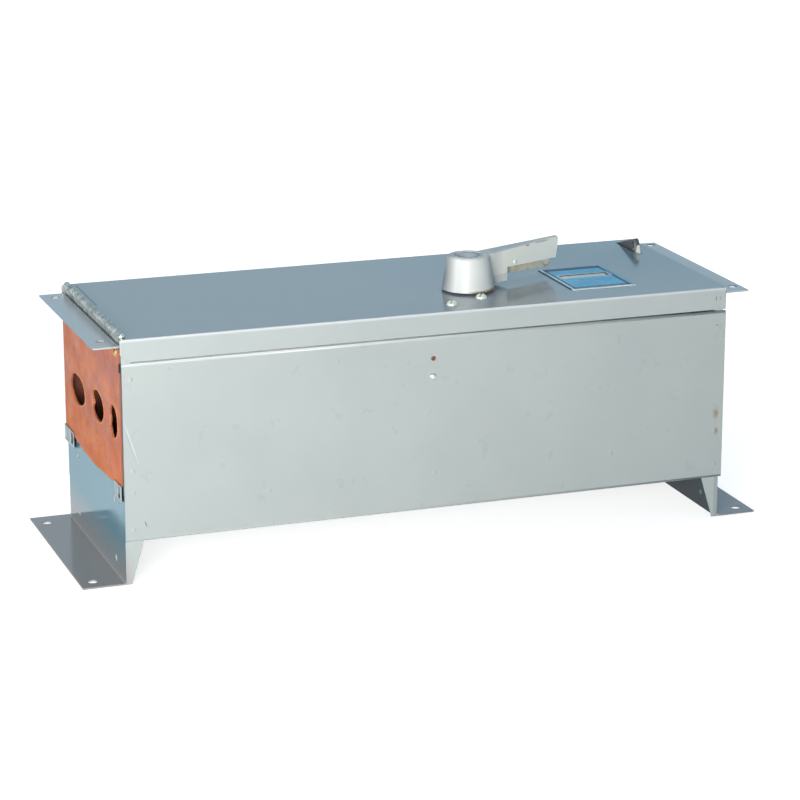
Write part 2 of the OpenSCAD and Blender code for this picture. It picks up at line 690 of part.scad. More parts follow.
// Two cheeks with a sloped front corner, and a back with vent slots above the strap
module arc_chambers() color("dimgray") at_poles() {
    both_sides() translate([0, chamber_half, 0]) rotate([90, 0, 0]) linear_extrude(chamber_wall) polygon([
        [chamber_x0 - chamber_wall, base_z], [chamber_x1, base_z], [chamber_x1, chamber_top - chamber_slope],
        [chamber_x1 - chamber_slope, chamber_top], [chamber_x0 - chamber_wall, chamber_top]]);
    difference() {
        block(chamber_x0 - chamber_wall, chamber_x0, -chamber_half, chamber_half, base_z + jaw_t, chamber_top);
        for (y = [-9, 0, 9]) block(chamber_x0 - 3, chamber_x0 + 1, y - 2, y + 2, blade_z + blade_h / 2 + 4, chamber_top - 4);
    }
}
module arc_plates() color("silver") at_poles() for (i = [0:arc_plates_n - 1])
    translate([0, 0, blade_z + blade_h / 2 + 1 + i * arc_pitch]) difference() {
        block(chamber_x0, chamber_x1 - 4, -chamber_half + 2, chamber_half - 2, 0, 1.2);
        block(axis_x - blade_l - 4, chamber_x1, -4, 4, -1, 3);
    }

// Folded bracket that carries the drive over the blades' hinge line
frame_leg_x = fuse_x0 + 1;
module mechanism_frame() color("lightsteelblue") difference() {
    union() {
        block(axis_x - frame_half, frame_leg_x + frame_t, axis_y - frame_half, axis_y + frame_half,
            frame_z, frame_z + frame_t);
        block(frame_leg_x, frame_leg_x + frame_t, axis_y - frame_half, axis_y + frame_half,
            base_z + 4, frame_z + frame_t);
        block(frame_leg_x, frame_leg_x + frame_t, frame_foot_y0, axis_y + frame_half, base_z, base_z + 5);
        block(frame_leg_x, frame_leg_x + frame_foot, frame_foot_y0, axis_y + frame_half, base_z, base_z + frame_t);
        for (y = [axis_y - frame_half, axis_y + frame_half - 2]) {
            block(axis_x - frame_half, frame_leg_x + frame_t, y, y + 2, frame_z, frame_z + frame_t + 6);
            block(frame_leg_x, frame_leg_x + 12, y, y + 2, base_z + 12, frame_z + frame_t + 6);
        }
    }
    translate([axis_x, axis_y, frame_z - 1]) cylinder(r = journal_r + run_clear, h = frame_t + 2);
}
module frame_screw() color("silver") translate([frame_leg_x + frame_foot - 6, axis_y + frame_half - 8, base_z + frame_t])
    cylinder(r = 4, h = 3, $fn = 6);

clip_top = base_z + fuse_rise + fuse_blade_w / 2 + 2;
clip_half = 9;
fuse_tab_t = 3.2;
module fuse_clip(x) {
    block(x - clip_half, x + clip_half, -fuse_tab_t / 2 - jaw_t, fuse_tab_t / 2 + jaw_t,
        base_z, base_z + fuse_rise - fuse_blade_w / 2);
    flared_leaves(x - clip_half, x + clip_half, fuse_tab_t / 2, base_z, clip_top);
}
module line_fuse_clips() color("orange") at_poles() fuse_clip(line_clip_x);
module load_fuse_clips() color("orange") at_poles() {
    fuse_clip(load_clip_x);
    strap(load_clip_x + clip_half, fuse_x1 - 4);
}
module fuse(i) {
    x = (line_clip_x + load_clip_x) / 2;
    translate([x, poles[i], base_z + fuse_rise]) {
        rod_x(fuse_r - 0.8, -fuse_barrel_l / 2, fuse_barrel_l / 2);
        for (s = [-1, 1]) translate([s * (fuse_barrel_l / 2 - 7), 0, 0]) rotate([0, 90, 0])
            cylinder(r = fuse_r, h = 14, center = true);
        block(-fuse_l / 2, fuse_l / 2, -fuse_tab_t / 2, fuse_tab_t / 2, -fuse_blade_w / 2, fuse_blade_w / 2);
    }
}
module fuse_1() color("wheat") fuse(0);
module fuse_2() color("wheat") fuse(1);
module fuse_3() color("wheat") fuse(2);

lug_bevel = 4;
module lug(x) difference() {
    translate([x, 0, base_z + jaw_t]) rotate([90, 0, 90]) linear_extrude(lug_l) polygon([
        [-lug_w / 2, 0], [lug_w / 2, 0], [lug_w / 2, lug_h - lug_bevel], [lug_w / 2 - lug_bevel, lug_h],
        [-lug_w / 2 + lug_bevel, lug_h], [-lug_w / 2, lug_h - lug_bevel]]);
    translate([0, 0, base_z + jaw_t + lug_bore_r + 4]) rod_x(lug_bore_r, x - 1, x + lug_l + 1);
    translate([x + lug_l / 2, 0, base_z + jaw_t + lug_bore_r + 4]) cylinder(r = lug_screw_r, h = lug_h);
}
module lug_screw(x) translate([x + lug_l / 2, 0, base_z + jaw_t + 2 * lug_bore_r + 4.3]) difference() {
    cylinder(r = lug_screw_r, h = lug_h - 2 * lug_bore_r - 2.3);
    translate([0, 0, lug_h - 2 * lug_bore_r - 5]) cylinder(r = lug_screw_r * 0.55, h = 4, $fn = 6);
}
module line_lugs() color("lightgray") at_poles() lug(line_lug_x);
module line_lug_screws() color("silver") at_poles() lug_screw(line_lug_x);
module load_lugs() color("lightgray") at_poles() lug(load_lug_x);
module load_lug_screws() color("silver") at_poles() lug_screw(load_lug_x);

module phase_barriers() color("peru") for (s = [-1, 1])
    translate([0, pole_mid_y + s * pole_pitch / 2, base_z])
        block(fuse_x0 + phase_barrier_in, fuse_x1, -phase_barrier_t / 2, phase_barrier_t / 2, rib_h, phase_barrier_h);

ground_x = switch_x0 - ground_gap - ground_l;
ground_y = side_in - liner_t - ground_side_gap - ground_w / 2;
ground_screw_r = 3;
ground_screw_l = 6;
module at_ground_screws() for (k = [0.25, 0.75])
    translate([ground_x + k * ground_l, ground_y, pan_z + ground_h - ground_screw_l]) children();
module ground_bar() color("silver") difference() {
    block(ground_x, ground_x + ground_l, ground_y - ground_w / 2, ground_y + ground_w / 2, pan_z, pan_z + ground_h);
    at_ground_screws() cylinder(r = ground_screw_r, h = ground_screw_l + 1);
}
module ground_screws() color("limegreen") at_ground_screws() {
    cylinder(r = ground_screw_r, h = ground_screw_l);
    translate([0, 0, ground_screw_l]) cylinder(r = ground_screw_r + 2, h = 3.5, $fn = 6);
}

// ---- lid ----
hem_z = load_flange_z + hem_gap;
module skirt() rotate([90, 0, 0]) linear_extrude(sheet_t) polygon([
    [-end_x, lid_top - lid_skirt + lid_chamfer], [-end_x, lid_top - sheet_t / 2], [-end_x + 2, lid_top],
    [end_x, lid_top], [end_x, lid_top - lid_skirt], [-end_x + lid_chamfer, lid_top - lid_skirt]]);

lid_screw_spots = [[axis_x - stop_screw_x, axis_y - stop_screw_y], [axis_x, axis_y - lid_screw_span / 2],
    [axis_x, axis_y + lid_screw_span / 2]];

module lid() color("lightslategray") difference() {
    union() {
        block(lid_edge_x, end_x, -lid_w / 2, lid_w / 2, lid_under, lid_top);
        both_sides() translate([0, lid_w / 2, 0]) skirt();
        block(end_x - sheet_t, end_x, -lid_w / 2, lid_w / 2, hem_z, lid_under + eps);
    }
    translate([axis_x, axis_y, lid_under - 1]) cylinder(r = shaft_r + 1, h = sheet_t + 2);
    block(end_x - hasp_in - hasp_t / 2 - hasp_clear, end_x - hasp_in + hasp_t / 2 + hasp_clear,
        hasp_y - hasp_clear, hasp_y + hasp_l + hasp_clear, lid_under - 1, lid_top + 1);
}

module rating_plate() color("steelblue")
    block(rating_x, rating_x + plate_l, rating_y, rating_y + plate_w, lid_top, lid_top + plate_t);

lid_screw_head_h = 3.5;
module lid_screws() color("white") for (p = lid_screw_spots)
    translate([p[0], p[1], lid_top]) difference() {
        intersection() {
            translate([0, 0, lid_screw_head_h - lid_screw_r * 1.2]) sphere(lid_screw_r * 1.2);
            cylinder(r = lid_screw_r, h = lid_screw_head_h);
        }
        rotate(35) translate([0, 0, lid_screw_head_h]) cube([3 * lid_screw_r, 1.1, 2.2], center = true);
    }

plate_xs = concat([for (p = lid_screw_spots) p[0]], axis_x);
plate_ys = [for (p = lid_screw_spots) p[1]];
bearing_low = lid_under - bearing_t - bearing_collar;
module bearing_plate() color("silver") difference() {
    union() {
        block(min(plate_xs) - bearing_margin, max(plate_xs) + shaft_r + bearing_margin,
            min(plate_ys) - bearing_margin, max(plate_ys) + bearing_margin, lid_under - bearing_t, lid_under);
        translate([axis_x, axis_y, bearing_low]) cylinder(r = shaft_r + 4, h = bearing_collar + eps);
    }
    translate([axis_x, axis_y, bearing_low - 1]) cylinder(r = shaft_r + run_clear, h = bearing_collar + bearing_t + 2);
}

// ---- handle ----
knob_z = lid_top + knob_gap;
module at_handle() translate([axis_x, axis_y, 0]) rotate(lever_angle) children();

// Stretch of the lever between two stations, each [distance, half width, low, top], with its top edges rounded
lever_round = 2.4;
// How far the lever's end face leans back at its foot
lever_slant = 3;
module lever_part(a, b) hull() for (p = [a, b])
    translate([p[0] - 0.5, 0, lid_top]) rotate([90, 0, 90]) linear_extrude(1) {
        translate([-p[1], p[2]]) square([2 * p[1], p[3] - p[2] - lever_round]);
        for (s = [-1, 1]) translate([s * (p[1] - lever_round), p[3] - lever_round]) circle(lever_round, $fn = 24);
    }

// Half section of the knob: a short upright rim, a straight flank and a round shoulder
knob_rim = 1.6;
knob_recess_h = 2.2;
module knob_profile() {
    z = knob_h - knob_round;
    polygon(concat([[0, 0], [knob_base_r, 0], [knob_base_r - 0.4, knob_rim]],
        [for (a = [0:10:90]) [knob_top_r - knob_round + knob_round * cos(a), z + knob_round * sin(a)]],
        [[0, knob_h]]));
}
module handle_knob() color("lightgray") at_handle() difference() {
    root_top = knob_gap + knob_h - 1;
    root = lever_root_w / 2;
    tip = lever_tip_w / 2;
    web_half = root - (root - tip) * (lever_web - 14) / (lever_reach - 14);
    web_top = root_top + (lever_tip_top - root_top) * (lever_web - 14) / (lever_reach - 14);
    union() {
        translate([0, 0, knob_z]) rotate_extrude() knob_profile();
        lever_part([14, root, web_gap, root_top], [lever_web, web_half, web_gap, web_top]);
        lever_part([lever_web, web_half, lever_grip_low, web_top],
            [lever_reach - lever_slant, tip, lever_tip_low, lever_tip_top]);
        lever_part([lever_reach - lever_slant, tip, lever_tip_low, lever_tip_top],
            [lever_reach - 0.5, tip, lever_tip_top - lever_round - 2, lever_tip_top]);
    }
    translate([0, 0, knob_z - 1]) cylinder(r = shaft_r, h = knob_h - 7);
    translate([0, 0, knob_z + knob_h - knob_recess_h]) cylinder(r = knob_recess_r, h = 4);
    block(lever_web - 6, lever_reach - 8, -tongue_t / 2 - 0.4, tongue_t / 2 + 0.4, lid_top, lid_top + lever_grip_low + 10);
}

module knob_cap() color("gainsboro") at_handle()
    translate([0, 0, knob_z + knob_h - knob_recess_h]) {
        cylinder(r = knob_recess_r - 3.6, h = knob_recess_h - 0.7);
        translate([0, 0, knob_recess_h - 0.7]) cylinder(r = knob_recess_r - 4.2, h = 0.6);
    }

module handle_shaft() color("silver") at_handle() {
    z1 = knob_z + knob_h - 8;
    z0 = cup_z + cup_h + 0.8;
    translate([0, 0, z0]) cylinder(r = shaft_r, h = z1 - z0);
    rotate(-lever_angle) block(-shaft_r + 1, shaft_r - 1, -tang_t / 2, tang_t / 2, cup_z + 3, z0 + 1);
}

module shaft_clip() color("silver") at_handle() translate([0, 0, bearing_low - 1.5]) difference() {
    cylinder(r = shaft_r + 4, h = 1.2);
    translate([0, 0, -1]) cylinder(r = shaft_r, h = 4);
}

// Height of the tongue that shows below the lever
tongue_show = 8.6;
module lock_tongue() color("tan") at_handle() difference() {
    x0 = lever_web + 1;
    x1 = x0 + tongue_l;
    z0 = lid_top + lever_grip_low - tongue_show;
    under_tip = lid_top + lever_tip_low - 0.8;
    rotate([90, 0, 0]) translate([0, 0, -tongue_t / 2]) linear_extrude(tongue_t) polygon([
        [x0, z0], [x1 - 3, z0 - 1.2], [x1, z0 + 1], [x1, under_tip], [x1 - tongue_travel + 1, under_tip],
        [x1 - tongue_travel - 1, z0 + tongue_show + 4.4], [x0, z0 + tongue_show + 4.4]]);
    translate([x0 + 4, 0, z0 + 4]) rod_y(1.6, -5, 5);
    translate([x1 - 6.5, 0, z0 + 3.2]) rod_y(2.2, -5, 5);
}

// ---- drive ----
module at_drive() translate([axis_x, axis_y, 0]) rotate(-handle_turn / 2) children();
module drive_cup() color("gray") {
    at_drive() {
        hull() {
            translate([0, 0, crank_arm_z]) cylinder(r = 9, h = crank_arm_t);
            translate([0, crank_r, crank_arm_z]) cylinder(r = crank_pin_r + 2.5, h = crank_arm_t);
        }
    }
    translate([axis_x, axis_y, 0]) {
        translate([0, 0, crank_arm_z + crank_arm_t]) cylinder(r = journal_r, h = cup_z - crank_arm_z - crank_arm_t);
        difference() {
            translate([0, 0, cup_z]) cylinder(r = cup_r, h = cup_h);
            block(-cup_r - 1, cup_r + 1, -cup_slot_w / 2, cup_slot_w / 2, cup_z + 2.6, cup_z + cup_h + 1);
        }
    }
}
module crank_pin() color("silver") at_drive()
    translate([0, crank_r, blade_z + crank_rise - 7]) cylinder(r = crank_pin_r, h = 7 + crank_arm_z - blade_z - crank_rise);

module at_blades() translate([axis_x, 0, blade_z]) rotate([0, blade_open, 0]) children();
module moving_blades() color("orange") at_blades() at_poles() difference() {
    union() {
        rod_y(blade_h / 2, -blade_t / 2, blade_t / 2);
        block(-blade_l + 6, 0, -blade_t / 2, blade_t / 2, -blade_h / 2, blade_h / 2);
        rotate([90, 0, 0]) translate([0, 0, -blade_t / 2]) linear_extrude(blade_t)
            polygon([[-blade_l + 6, blade_h / 2], [-blade_l, blade_h / 2 - 4], [-blade_l, -blade_h / 2 + 8],
                [-blade_l + 6, -blade_h / 2]]);
    }
    rod_y(pivot_r + run_clear, -5, 5);
}
module crossbar() color("maroon") at_blades() difference() {
    block(-bar_out - bar_s / 2, -bar_out + bar_s / 2, poles[0] - bar_over, poles[2] + bar_over,
        -blade_h / 2 - bar_wall, blade_h / 2 + bar_wall);
    at_poles() block(-bar_out - bar_s, -bar_out + bar_s, -blade_t / 2, blade_t / 2, -blade_h / 2, blade_h / 2);
}
// A point of the yoke, given with its slotted plate level, in the blades' closed position
function yoke_point(x, z) = [x * cos(half_swing) - z * sin(half_swing), x * sin(half_swing) + z * cos(half_swing)];

// Folded bracket: a foot screwed to the crossbar, an arm, and a level plate with an open slot for the pin
yoke_y = axis_y + crank_r * cos(handle_turn / 2) - crank_pin_r - 1;
yoke_end_y = axis_y + crank_r + crank_pin_r;
yoke_slot = crank_pin_r + yoke_play;
yoke_foot_w = 14;
yoke_screw_r = 1.8;
bar_top = blade_h / 2 + bar_wall;
module at_yoke_screws() for (s = [-1, 1])
    translate([-bar_out + s * bar_s / 4, yoke_y - yoke_t - yoke_foot_w / 2, bar_top]) children();
module drive_yoke() color("silver") at_blades() {
    translate([0, yoke_y, 0]) rotate([90, 0, 0]) linear_extrude(yoke_t) polygon([
        [-bar_out - bar_s / 2, bar_top], [-bar_out + bar_s / 2, bar_top],
        yoke_point(yoke_slot + yoke_t, crank_rise - 12), yoke_point(yoke_slot + yoke_t, crank_rise + yoke_t / 2),
        yoke_point(-yoke_slot - yoke_t, crank_rise + yoke_t / 2)]);
    rotate([0, -half_swing, 0]) translate([0, (yoke_y + yoke_end_y) / 2 - yoke_t / 2, crank_rise]) for (s = [-1, 1])
        translate([s * (yoke_slot + yoke_t / 2), 0, 0]) cube([yoke_t, yoke_end_y - yoke_y + yoke_t, yoke_t], center = true);
    difference() {
        block(-bar_out - bar_s / 2, -bar_out + bar_s / 2, yoke_y - yoke_t - yoke_foot_w, yoke_y - yoke_t + eps,
            bar_top, bar_top + yoke_t);
        at_yoke_screws() translate([0, 0, -1]) cylinder(r = yoke_screw_r, h = yoke_t + 2);
    }
}
module yoke_screws() color("gainsboro") at_blades() at_yoke_screws() {
    cylinder(r = yoke_screw_r, h = yoke_t);
    translate([0, 0, yoke_t]) dome_head(yoke_screw_r + 1.4);
}

body_shell();
line_end_plate();
load_end_plate();
fibre_barrier();
barrier_screws();
barrier_clips();
side_liners();
side_screws();
padlock_hasp();
hinge_body_leaf();
hinge_pin();
mounting_pan();
switch_base();
base_screws();
line_lugs();
line_lug_screws();
line_jaws();
hinge_jaws();
blade_pivots();
arc_chambers();
arc_plates();
mechanism_frame();
fuse_base();
line_fuse_clips();
load_fuse_clips();
fuse_1();
fuse_2();
fuse_3();
load_lugs();
load_lug_screws();
phase_barriers();
ground_bar();
ground_screws();
lid();
hinge_lid_leaf();
rating_plate();
lid_screws();
bearing_plate();
handle_knob();
knob_cap();
handle_shaft();
shaft_clip();
lock_tongue();
drive_cup();
crank_pin();
moving_blades();
crossbar();
drive_yoke();
yoke_screws();
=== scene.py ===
"""Looks of the busway tap off box: finishes, detailed pieces, studio and camera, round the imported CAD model."""
import json
import math
import random

import bmesh
import bpy
from mathutils import Matrix, Vector

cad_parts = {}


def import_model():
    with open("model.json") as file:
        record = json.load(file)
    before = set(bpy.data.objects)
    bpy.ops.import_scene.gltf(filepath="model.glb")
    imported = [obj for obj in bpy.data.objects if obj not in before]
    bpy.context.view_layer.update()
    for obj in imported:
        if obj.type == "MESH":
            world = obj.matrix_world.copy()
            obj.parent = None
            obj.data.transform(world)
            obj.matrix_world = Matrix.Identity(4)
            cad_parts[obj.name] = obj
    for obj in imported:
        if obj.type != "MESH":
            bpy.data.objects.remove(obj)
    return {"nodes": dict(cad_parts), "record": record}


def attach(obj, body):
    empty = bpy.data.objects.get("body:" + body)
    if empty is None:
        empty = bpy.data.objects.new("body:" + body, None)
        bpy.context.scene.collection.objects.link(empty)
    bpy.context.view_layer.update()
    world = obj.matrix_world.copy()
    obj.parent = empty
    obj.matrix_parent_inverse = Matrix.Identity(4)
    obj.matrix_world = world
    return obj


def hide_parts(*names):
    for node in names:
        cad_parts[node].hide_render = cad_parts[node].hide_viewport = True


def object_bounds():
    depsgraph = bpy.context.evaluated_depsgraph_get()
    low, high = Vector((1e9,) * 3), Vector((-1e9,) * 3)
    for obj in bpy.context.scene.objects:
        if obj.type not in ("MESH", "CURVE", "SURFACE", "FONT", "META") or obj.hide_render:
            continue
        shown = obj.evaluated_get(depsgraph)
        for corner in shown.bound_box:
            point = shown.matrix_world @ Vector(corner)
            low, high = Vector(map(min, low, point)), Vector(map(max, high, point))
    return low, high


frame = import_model()
cad_low, cad_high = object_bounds()
random.seed(7)

MM = 0.001
# Places and sizes in millimetres, angles in degrees, in the frame of the CAD model
LID_TOP = 236.5
PANEL_Y = -112.3  # face of the front panel
SKIRT_Y = -114.2  # face of the lid's skirt
SHELL_LEFT = -303.4  # where the shell's left edge ends
FIBRE_X, FIBRE_T = -304.7, 1.8  # middle and thickness of the fibre barrier
HOLES = ((-86, 152, 15.5, 15.5), (-26, 151, 24, 14.8), (53, 146, 29, 14.8))  # y, z, half width, half height
TORN = (8, 11, 0.6)  # how far each hole's torn flap reaches in
CLIP_SLOTS = (81.5, -103)  # y of the slots in the strap clips
SLOT_Z, SLOT_HALF = 88.8, (3, 4.6, 6.4)
KNOB, KNOB_TOP = (63, -38), 271
LEVER_TURN, WALL_TURN, RIM_TURN = 20, 24.25, -20.4  # lever, its tapered side wall, the knob's side to the camera
LID_SCREWS = ((27, -90), (63, -74), (63, -2))
WIDE_SHEETS = ("lid", "body_shell", "line_end_plate", "load_end_plate", "mounting_pan")
STRAIGHT = (0, 0, 0)
ENDLESS = 9000
# The surroundings: the floor's glow under the part, the sky that lights, and the sky that is seen
FLOOR_GLOW = 0.72
SKY = (0.13, 0.19, 0.235, 1)
PALE_SKY = (0.50, 0.70, 0.82, 1)


# ---------------------------------------------------------------- shader helpers
def srgb(r, g, b):
    """An sRGB colour, 0 to 255, as linear RGBA."""
    def lin(c):
        c /= 255
        return c / 12.92 if c <= 0.04045 else ((c + 0.055) / 1.055) ** 2.4
    return (lin(r), lin(g), lin(b), 1)


class Shader:
    """A Principled material with short ways to add the procedural nodes that vary it."""

    def __init__(self, name, **values):
        self.material = bpy.data.materials.new(name)
        self.material.use_nodes = True
        self.tree = self.material.node_tree
        self.bsdf = self.tree.nodes["Principled BSDF"]
        self.coords = self.tree.nodes.new("ShaderNodeTexCoord").outputs["Object"]
        for key, value in values.items():
            self.bsdf.inputs[key].default_value = value

    def node(self, kind, **values):
        made = self.tree.nodes.new(kind)
        for key, value in values.items():
            if hasattr(made, key):
                setattr(made, key, value)
            else:
                made.inputs[key].default_value = value
        return made

    def link(self, source, target):
        self.tree.links.new(source, target)

    def noise(self, scale, detail=3.0, roughness=0.55, stretch=(1, 1, 1), shift=(0, 0, 0)):
        mapping = self.node("ShaderNodeMapping")
        mapping.inputs["Scale"].default_value = stretch
        mapping.inputs["Location"].default_value = shift
        self.link(self.coords, mapping.inputs["Vector"])
        made = self.node("ShaderNodeTexNoise")
        made.inputs["Scale"].default_value = scale
        made.inputs["Detail"].default_value = detail
        made.inputs["Roughness"].default_value = roughness
        self.link(mapping.outputs["Vector"], made.inputs["Vector"])
        return made.outputs["Fac"]

    def ramp(self, value, low, high, start=0.0, end=1.0):
        """Maps value from low..high to start..end, clamped."""
        made = self.node("ShaderNodeMapRange")
        self.link(value, made.inputs["Value"])
        for key, number in (("From Min", low), ("From Max", high), ("To Min", start), ("To Max", end)):
            made.inputs[key].default_value = number
        return made.outputs["Result"]

    def math(self, operation, a, b):
        made = self.node("ShaderNodeMath", operation=operation)
        for slot, value in zip(made.inputs, (a, b)):
            if isinstance(value, (int, float)):
                slot.default_value = value
            else:
                self.link(value, slot)
        return made.outputs[0]

    def mix(self, factor, a, b):
        made = self.node("ShaderNodeMix", data_type="RGBA")
        self.link(factor, made.inputs[0])
        for slot, value in ((made.inputs[6], a), (made.inputs[7], b)):
            if isinstance(value, tuple):
                slot.default_value = value
            else:
                self.link(value, slot)
        return made.outputs[2]

    def axis(self, index):
        split = self.node("ShaderNodeSeparateXYZ")
        self.link(self.coords, split.inputs[0])
        return split.outputs[index]

    def local(self, centre, half, turn):
        """Coordinates of a turned box: 0 at its centre, 1 at its faces. Millimetres and degrees."""
        mapping = self.node("ShaderNodeMapping", vector_type="TEXTURE")
        mapping.inputs["Location"].default_value = [v * MM for v in centre]
        mapping.inputs["Rotation"].default_value = [math.radians(v) for v in turn]
        mapping.inputs["Scale"].default_value = [v * MM for v in half]
        self.link(self.coords, mapping.inputs["Vector"])
        return mapping.outputs["Vector"]

    def blob(self, centre, half, turn=STRAIGHT, soft=0.5, ragged=0.0):
        """1 inside an ellipsoid, falling to 0 at its skin, which ragged roughens."""
        length = self.node("ShaderNodeVectorMath", operation="LENGTH")
        self.link(self.local(centre, half, turn), length.inputs[0])
        reach = length.outputs["Value"]
        if ragged:
            reach = self.math("ADD", reach, self.math("MULTIPLY", self.noise(420, 4), ragged))
            reach = self.math("SUBTRACT", reach, ragged / 2)
        return self.ramp(reach, 1, 1 - soft)

    def rect(self, centre, half, turn=STRAIGHT, soft=0.05):
        """1 inside a box, 0 outside it."""
        absolute = self.node("ShaderNodeVectorMath", operation="ABSOLUTE")
        self.link(self.local(centre, half, turn), absolute.inputs[0])
        split = self.node("ShaderNodeSeparateXYZ")
        self.link(absolute.outputs["Vector"], split.inputs[0])
        reach = self.math("MAXIMUM", self.math("MAXIMUM", split.outputs[0], split.outputs[1]), split.outputs[2])
        return self.ramp(reach, 1, 1 - soft)

    def facing(self, index, sign):
        """1 on faces that look along an axis of the object."""
        split = self.node("ShaderNodeSeparateXYZ")
        self.link(self.tree.nodes["Texture Coordinate"].outputs["Normal"], split.inputs[0])
        return self.ramp(self.math("MULTIPLY", split.outputs[index], sign), 0.6, 0.9)

    def over(self, tone, mask, colour, strength=1.0):
        return self.mix(self.math("MULTIPLY", mask, strength), tone, colour)

    def colour(self, source):
        self.link(source, self.bsdf.inputs["Base Color"])

    def roughness(self, source):
        self.link(source, self.bsdf.inputs["Roughness"])

    def bump(self, height, distance, strength=1.0):
        made = self.node("ShaderNodeBump")
        made.inputs["Strength"].default_value = strength
        made.inputs["Distance"].default_value = distance
        self.link(height, made.inputs["Height"])
        self.link(made.outputs["Normal"], self.bsdf.inputs["Normal"])


# ---------------------------------------------------------------- materials
ORANGE_PEEL = 0.00002  # height of the enamel's grain, in metres
CLOUDS = (1, 0.4, 1)  # the fibre's clouds are long across the sheet


def enamel(name, light, dark, rough, specular=0.4, ior=1.5, up=None, end=None, mirror=0.0, marks=(), dents=()):
    """Semi-gloss machine enamel: cloudy tone, orange peel, light scuffs, specks of grime, marks and dents.

    up paints a tone onto the faces that look up, and end onto those that look towards the two ends, which mirror
    polishes: both tones are painted reflection and shade, the sky's blue and the light as it falls on those faces.
    A mark is (mask kind, centre, half size, turn, colour, strength), a dent is (centre, half size, height)."""
    s = Shader(name, IOR=ior, **{"Specular IOR Level": specular})
    tone = s.mix(s.ramp(s.noise(9, 4), 0.3, 0.7), light, dark)
    # painted reflection and shade: a tone for the faces that look up
    if up:
        tone = s.mix(s.facing(2, 1), tone, up)
    # painted reflection and shade: a tone for the faces that look towards the two ends
    ends = s.math("MAXIMUM", s.facing(0, 1), s.facing(0, -1)) if end else None
    if end:
        tone = s.mix(ends, tone, end)
    grime = s.ramp(s.noise(210, 5, 0.65), 0.70, 0.78)
    tone = s.over(tone, grime, srgb(104, 100, 88), 0.16)
    scuff = s.ramp(s.noise(60, 5, 0.7, (1, 1, 7), (3, 1, 2)), 0.67, 0.74)
    tone = s.over(tone, scuff, srgb(222, 225, 222), 0.10)
    for kind, centre, half, turn, colour, strength in marks:
        if kind == "rect":
            mask = s.rect(centre, half, turn)
        else:
            mask = s.blob(centre, half, turn, *((0.9, 0.0) if kind == "soft" else (0.6, 0.9)))
        tone = s.over(tone, mask, colour, strength)
    s.colour(tone)
    dullness = s.ramp(s.noise(45, 5), 0.3, 0.75, rough - 0.04, rough + 0.07)
    if mirror:
        dullness = s.math("SUBTRACT", dullness, s.math("MULTIPLY", ends, rough - 0.1))
        s.link(s.math("MULTIPLY", ends, mirror), s.bsdf.inputs["Metallic"])
        s.link(s.ramp(ends, 0, 1, specular, 0), s.bsdf.inputs["Specular IOR Level"])
    s.roughness(dullness)
    height = s.math("MULTIPLY", s.noise(500, 2), ORANGE_PEEL)
    for centre, half, rise in dents:
        height = s.math("ADD", height, s.math("MULTIPLY", s.blob(centre, half, soft=0.95), rise))
    s.bump(height, 1.0)
    return s.material


def bare_metal(name, light, dark, rough, grain=(1, 1, 1), tarnish=None, metallic=1.0, spots=0.0, pit=0.00004):
    """Plated or bare metal: blotchy zinc or drawn grain, with tarnish gathering in spots."""
    s = Shader(name, Metallic=metallic)
    tone = s.mix(s.ramp(s.noise(120, 5, 0.6, grain), 0.35, 0.7), light, dark)
    if tarnish:
        tone = s.mix(s.ramp(s.noise(75, 6, 0.7), 0.52, 0.68), tone, tarnish)
    if spots:
        tone = s.over(tone, s.ramp(s.noise(360, 4, 0.7), 0.56, 0.64), srgb(58, 57, 46), spots)
        tone = s.over(tone, s.ramp(s.noise(420, 4, 0.7, shift=(2, 5, 1)), 0.56, 0.66), srgb(226, 229, 226), spots)
    s.colour(tone)
    s.roughness(s.ramp(s.noise(200, 4), 0.3, 0.8, rough, rough + 0.22))
    s.bump(s.noise(900, 3, 0.5, grain), pit)
    return s.material


def fibre(name, light, dark, hot, cool):
    """Vulcanised fibre: cloudy sheet with stains and flecks, hot below, cool in clouds, raw round the cut holes,
    with painted shade in the slit at its front edge and behind the strap clips' slots.
    """
    s = Shader(name, **{"Specular IOR Level": 0.22})
    painted_gap_shade = srgb(24, 22, 22)
    tone = s.mix(s.ramp(s.noise(17, 6, 0.62, CLOUDS), 0.36, 0.64), light, dark)
    bloom = s.ramp(s.noise(14, 5, 0.7, CLOUDS, (1, 7, 2)), 0.48, 0.64)
    tone = s.over(tone, bloom, cool, 0.72)
    low = s.ramp(s.axis(2), 0.165, 0.105)
    tone = s.over(tone, low, hot, 0.7)
    glow = s.ramp(s.noise(22, 5, 0.7, CLOUDS, (6, 2, 3)), 0.55, 0.70)
    tone = s.over(tone, glow, srgb(222, 134, 62), 0.45)
    stain = s.ramp(s.noise(38, 6, 0.75, CLOUDS, (4, 0, 1)), 0.56, 0.70)
    tone = s.over(tone, stain, srgb(140, 80, 58), 0.4)
    fleck = s.ramp(s.noise(300, 4, 0.7), 0.58, 0.72)
    tone = s.over(tone, fleck, srgb(128, 70, 50), 0.45)
    for y, z, half_y, half_z in HOLES:
        rim = s.blob((-305, y, z), (6, half_y + 5, half_z + 5), soft=0.3, ragged=0.25)
        tone = s.over(tone, rim, srgb(214, 122, 64), 0.5)
    tone = s.over(tone, s.facing(1, -1), srgb(148, 92, 78), 0.8)
    # painted shade in the slit between the sheet's front edge and the panel
    tone = s.over(tone, s.rect((-305, -109.7, 209), (4, 0.6, 4.5)), painted_gap_shade, 0.9)
    # painted shade seen through the slots of the strap clips
    for y in CLIP_SLOTS:
        tone = s.over(tone, s.rect((-305, y, SLOT_Z), SLOT_HALF), painted_gap_shade, 0.95)
    s.colour(tone)
    s.roughness(s.ramp(s.noise(60, 4), 0.3, 0.7, 0.42, 0.66))
    s.bump(s.noise(320, 5, 0.7), 0.00012)
    return s.material


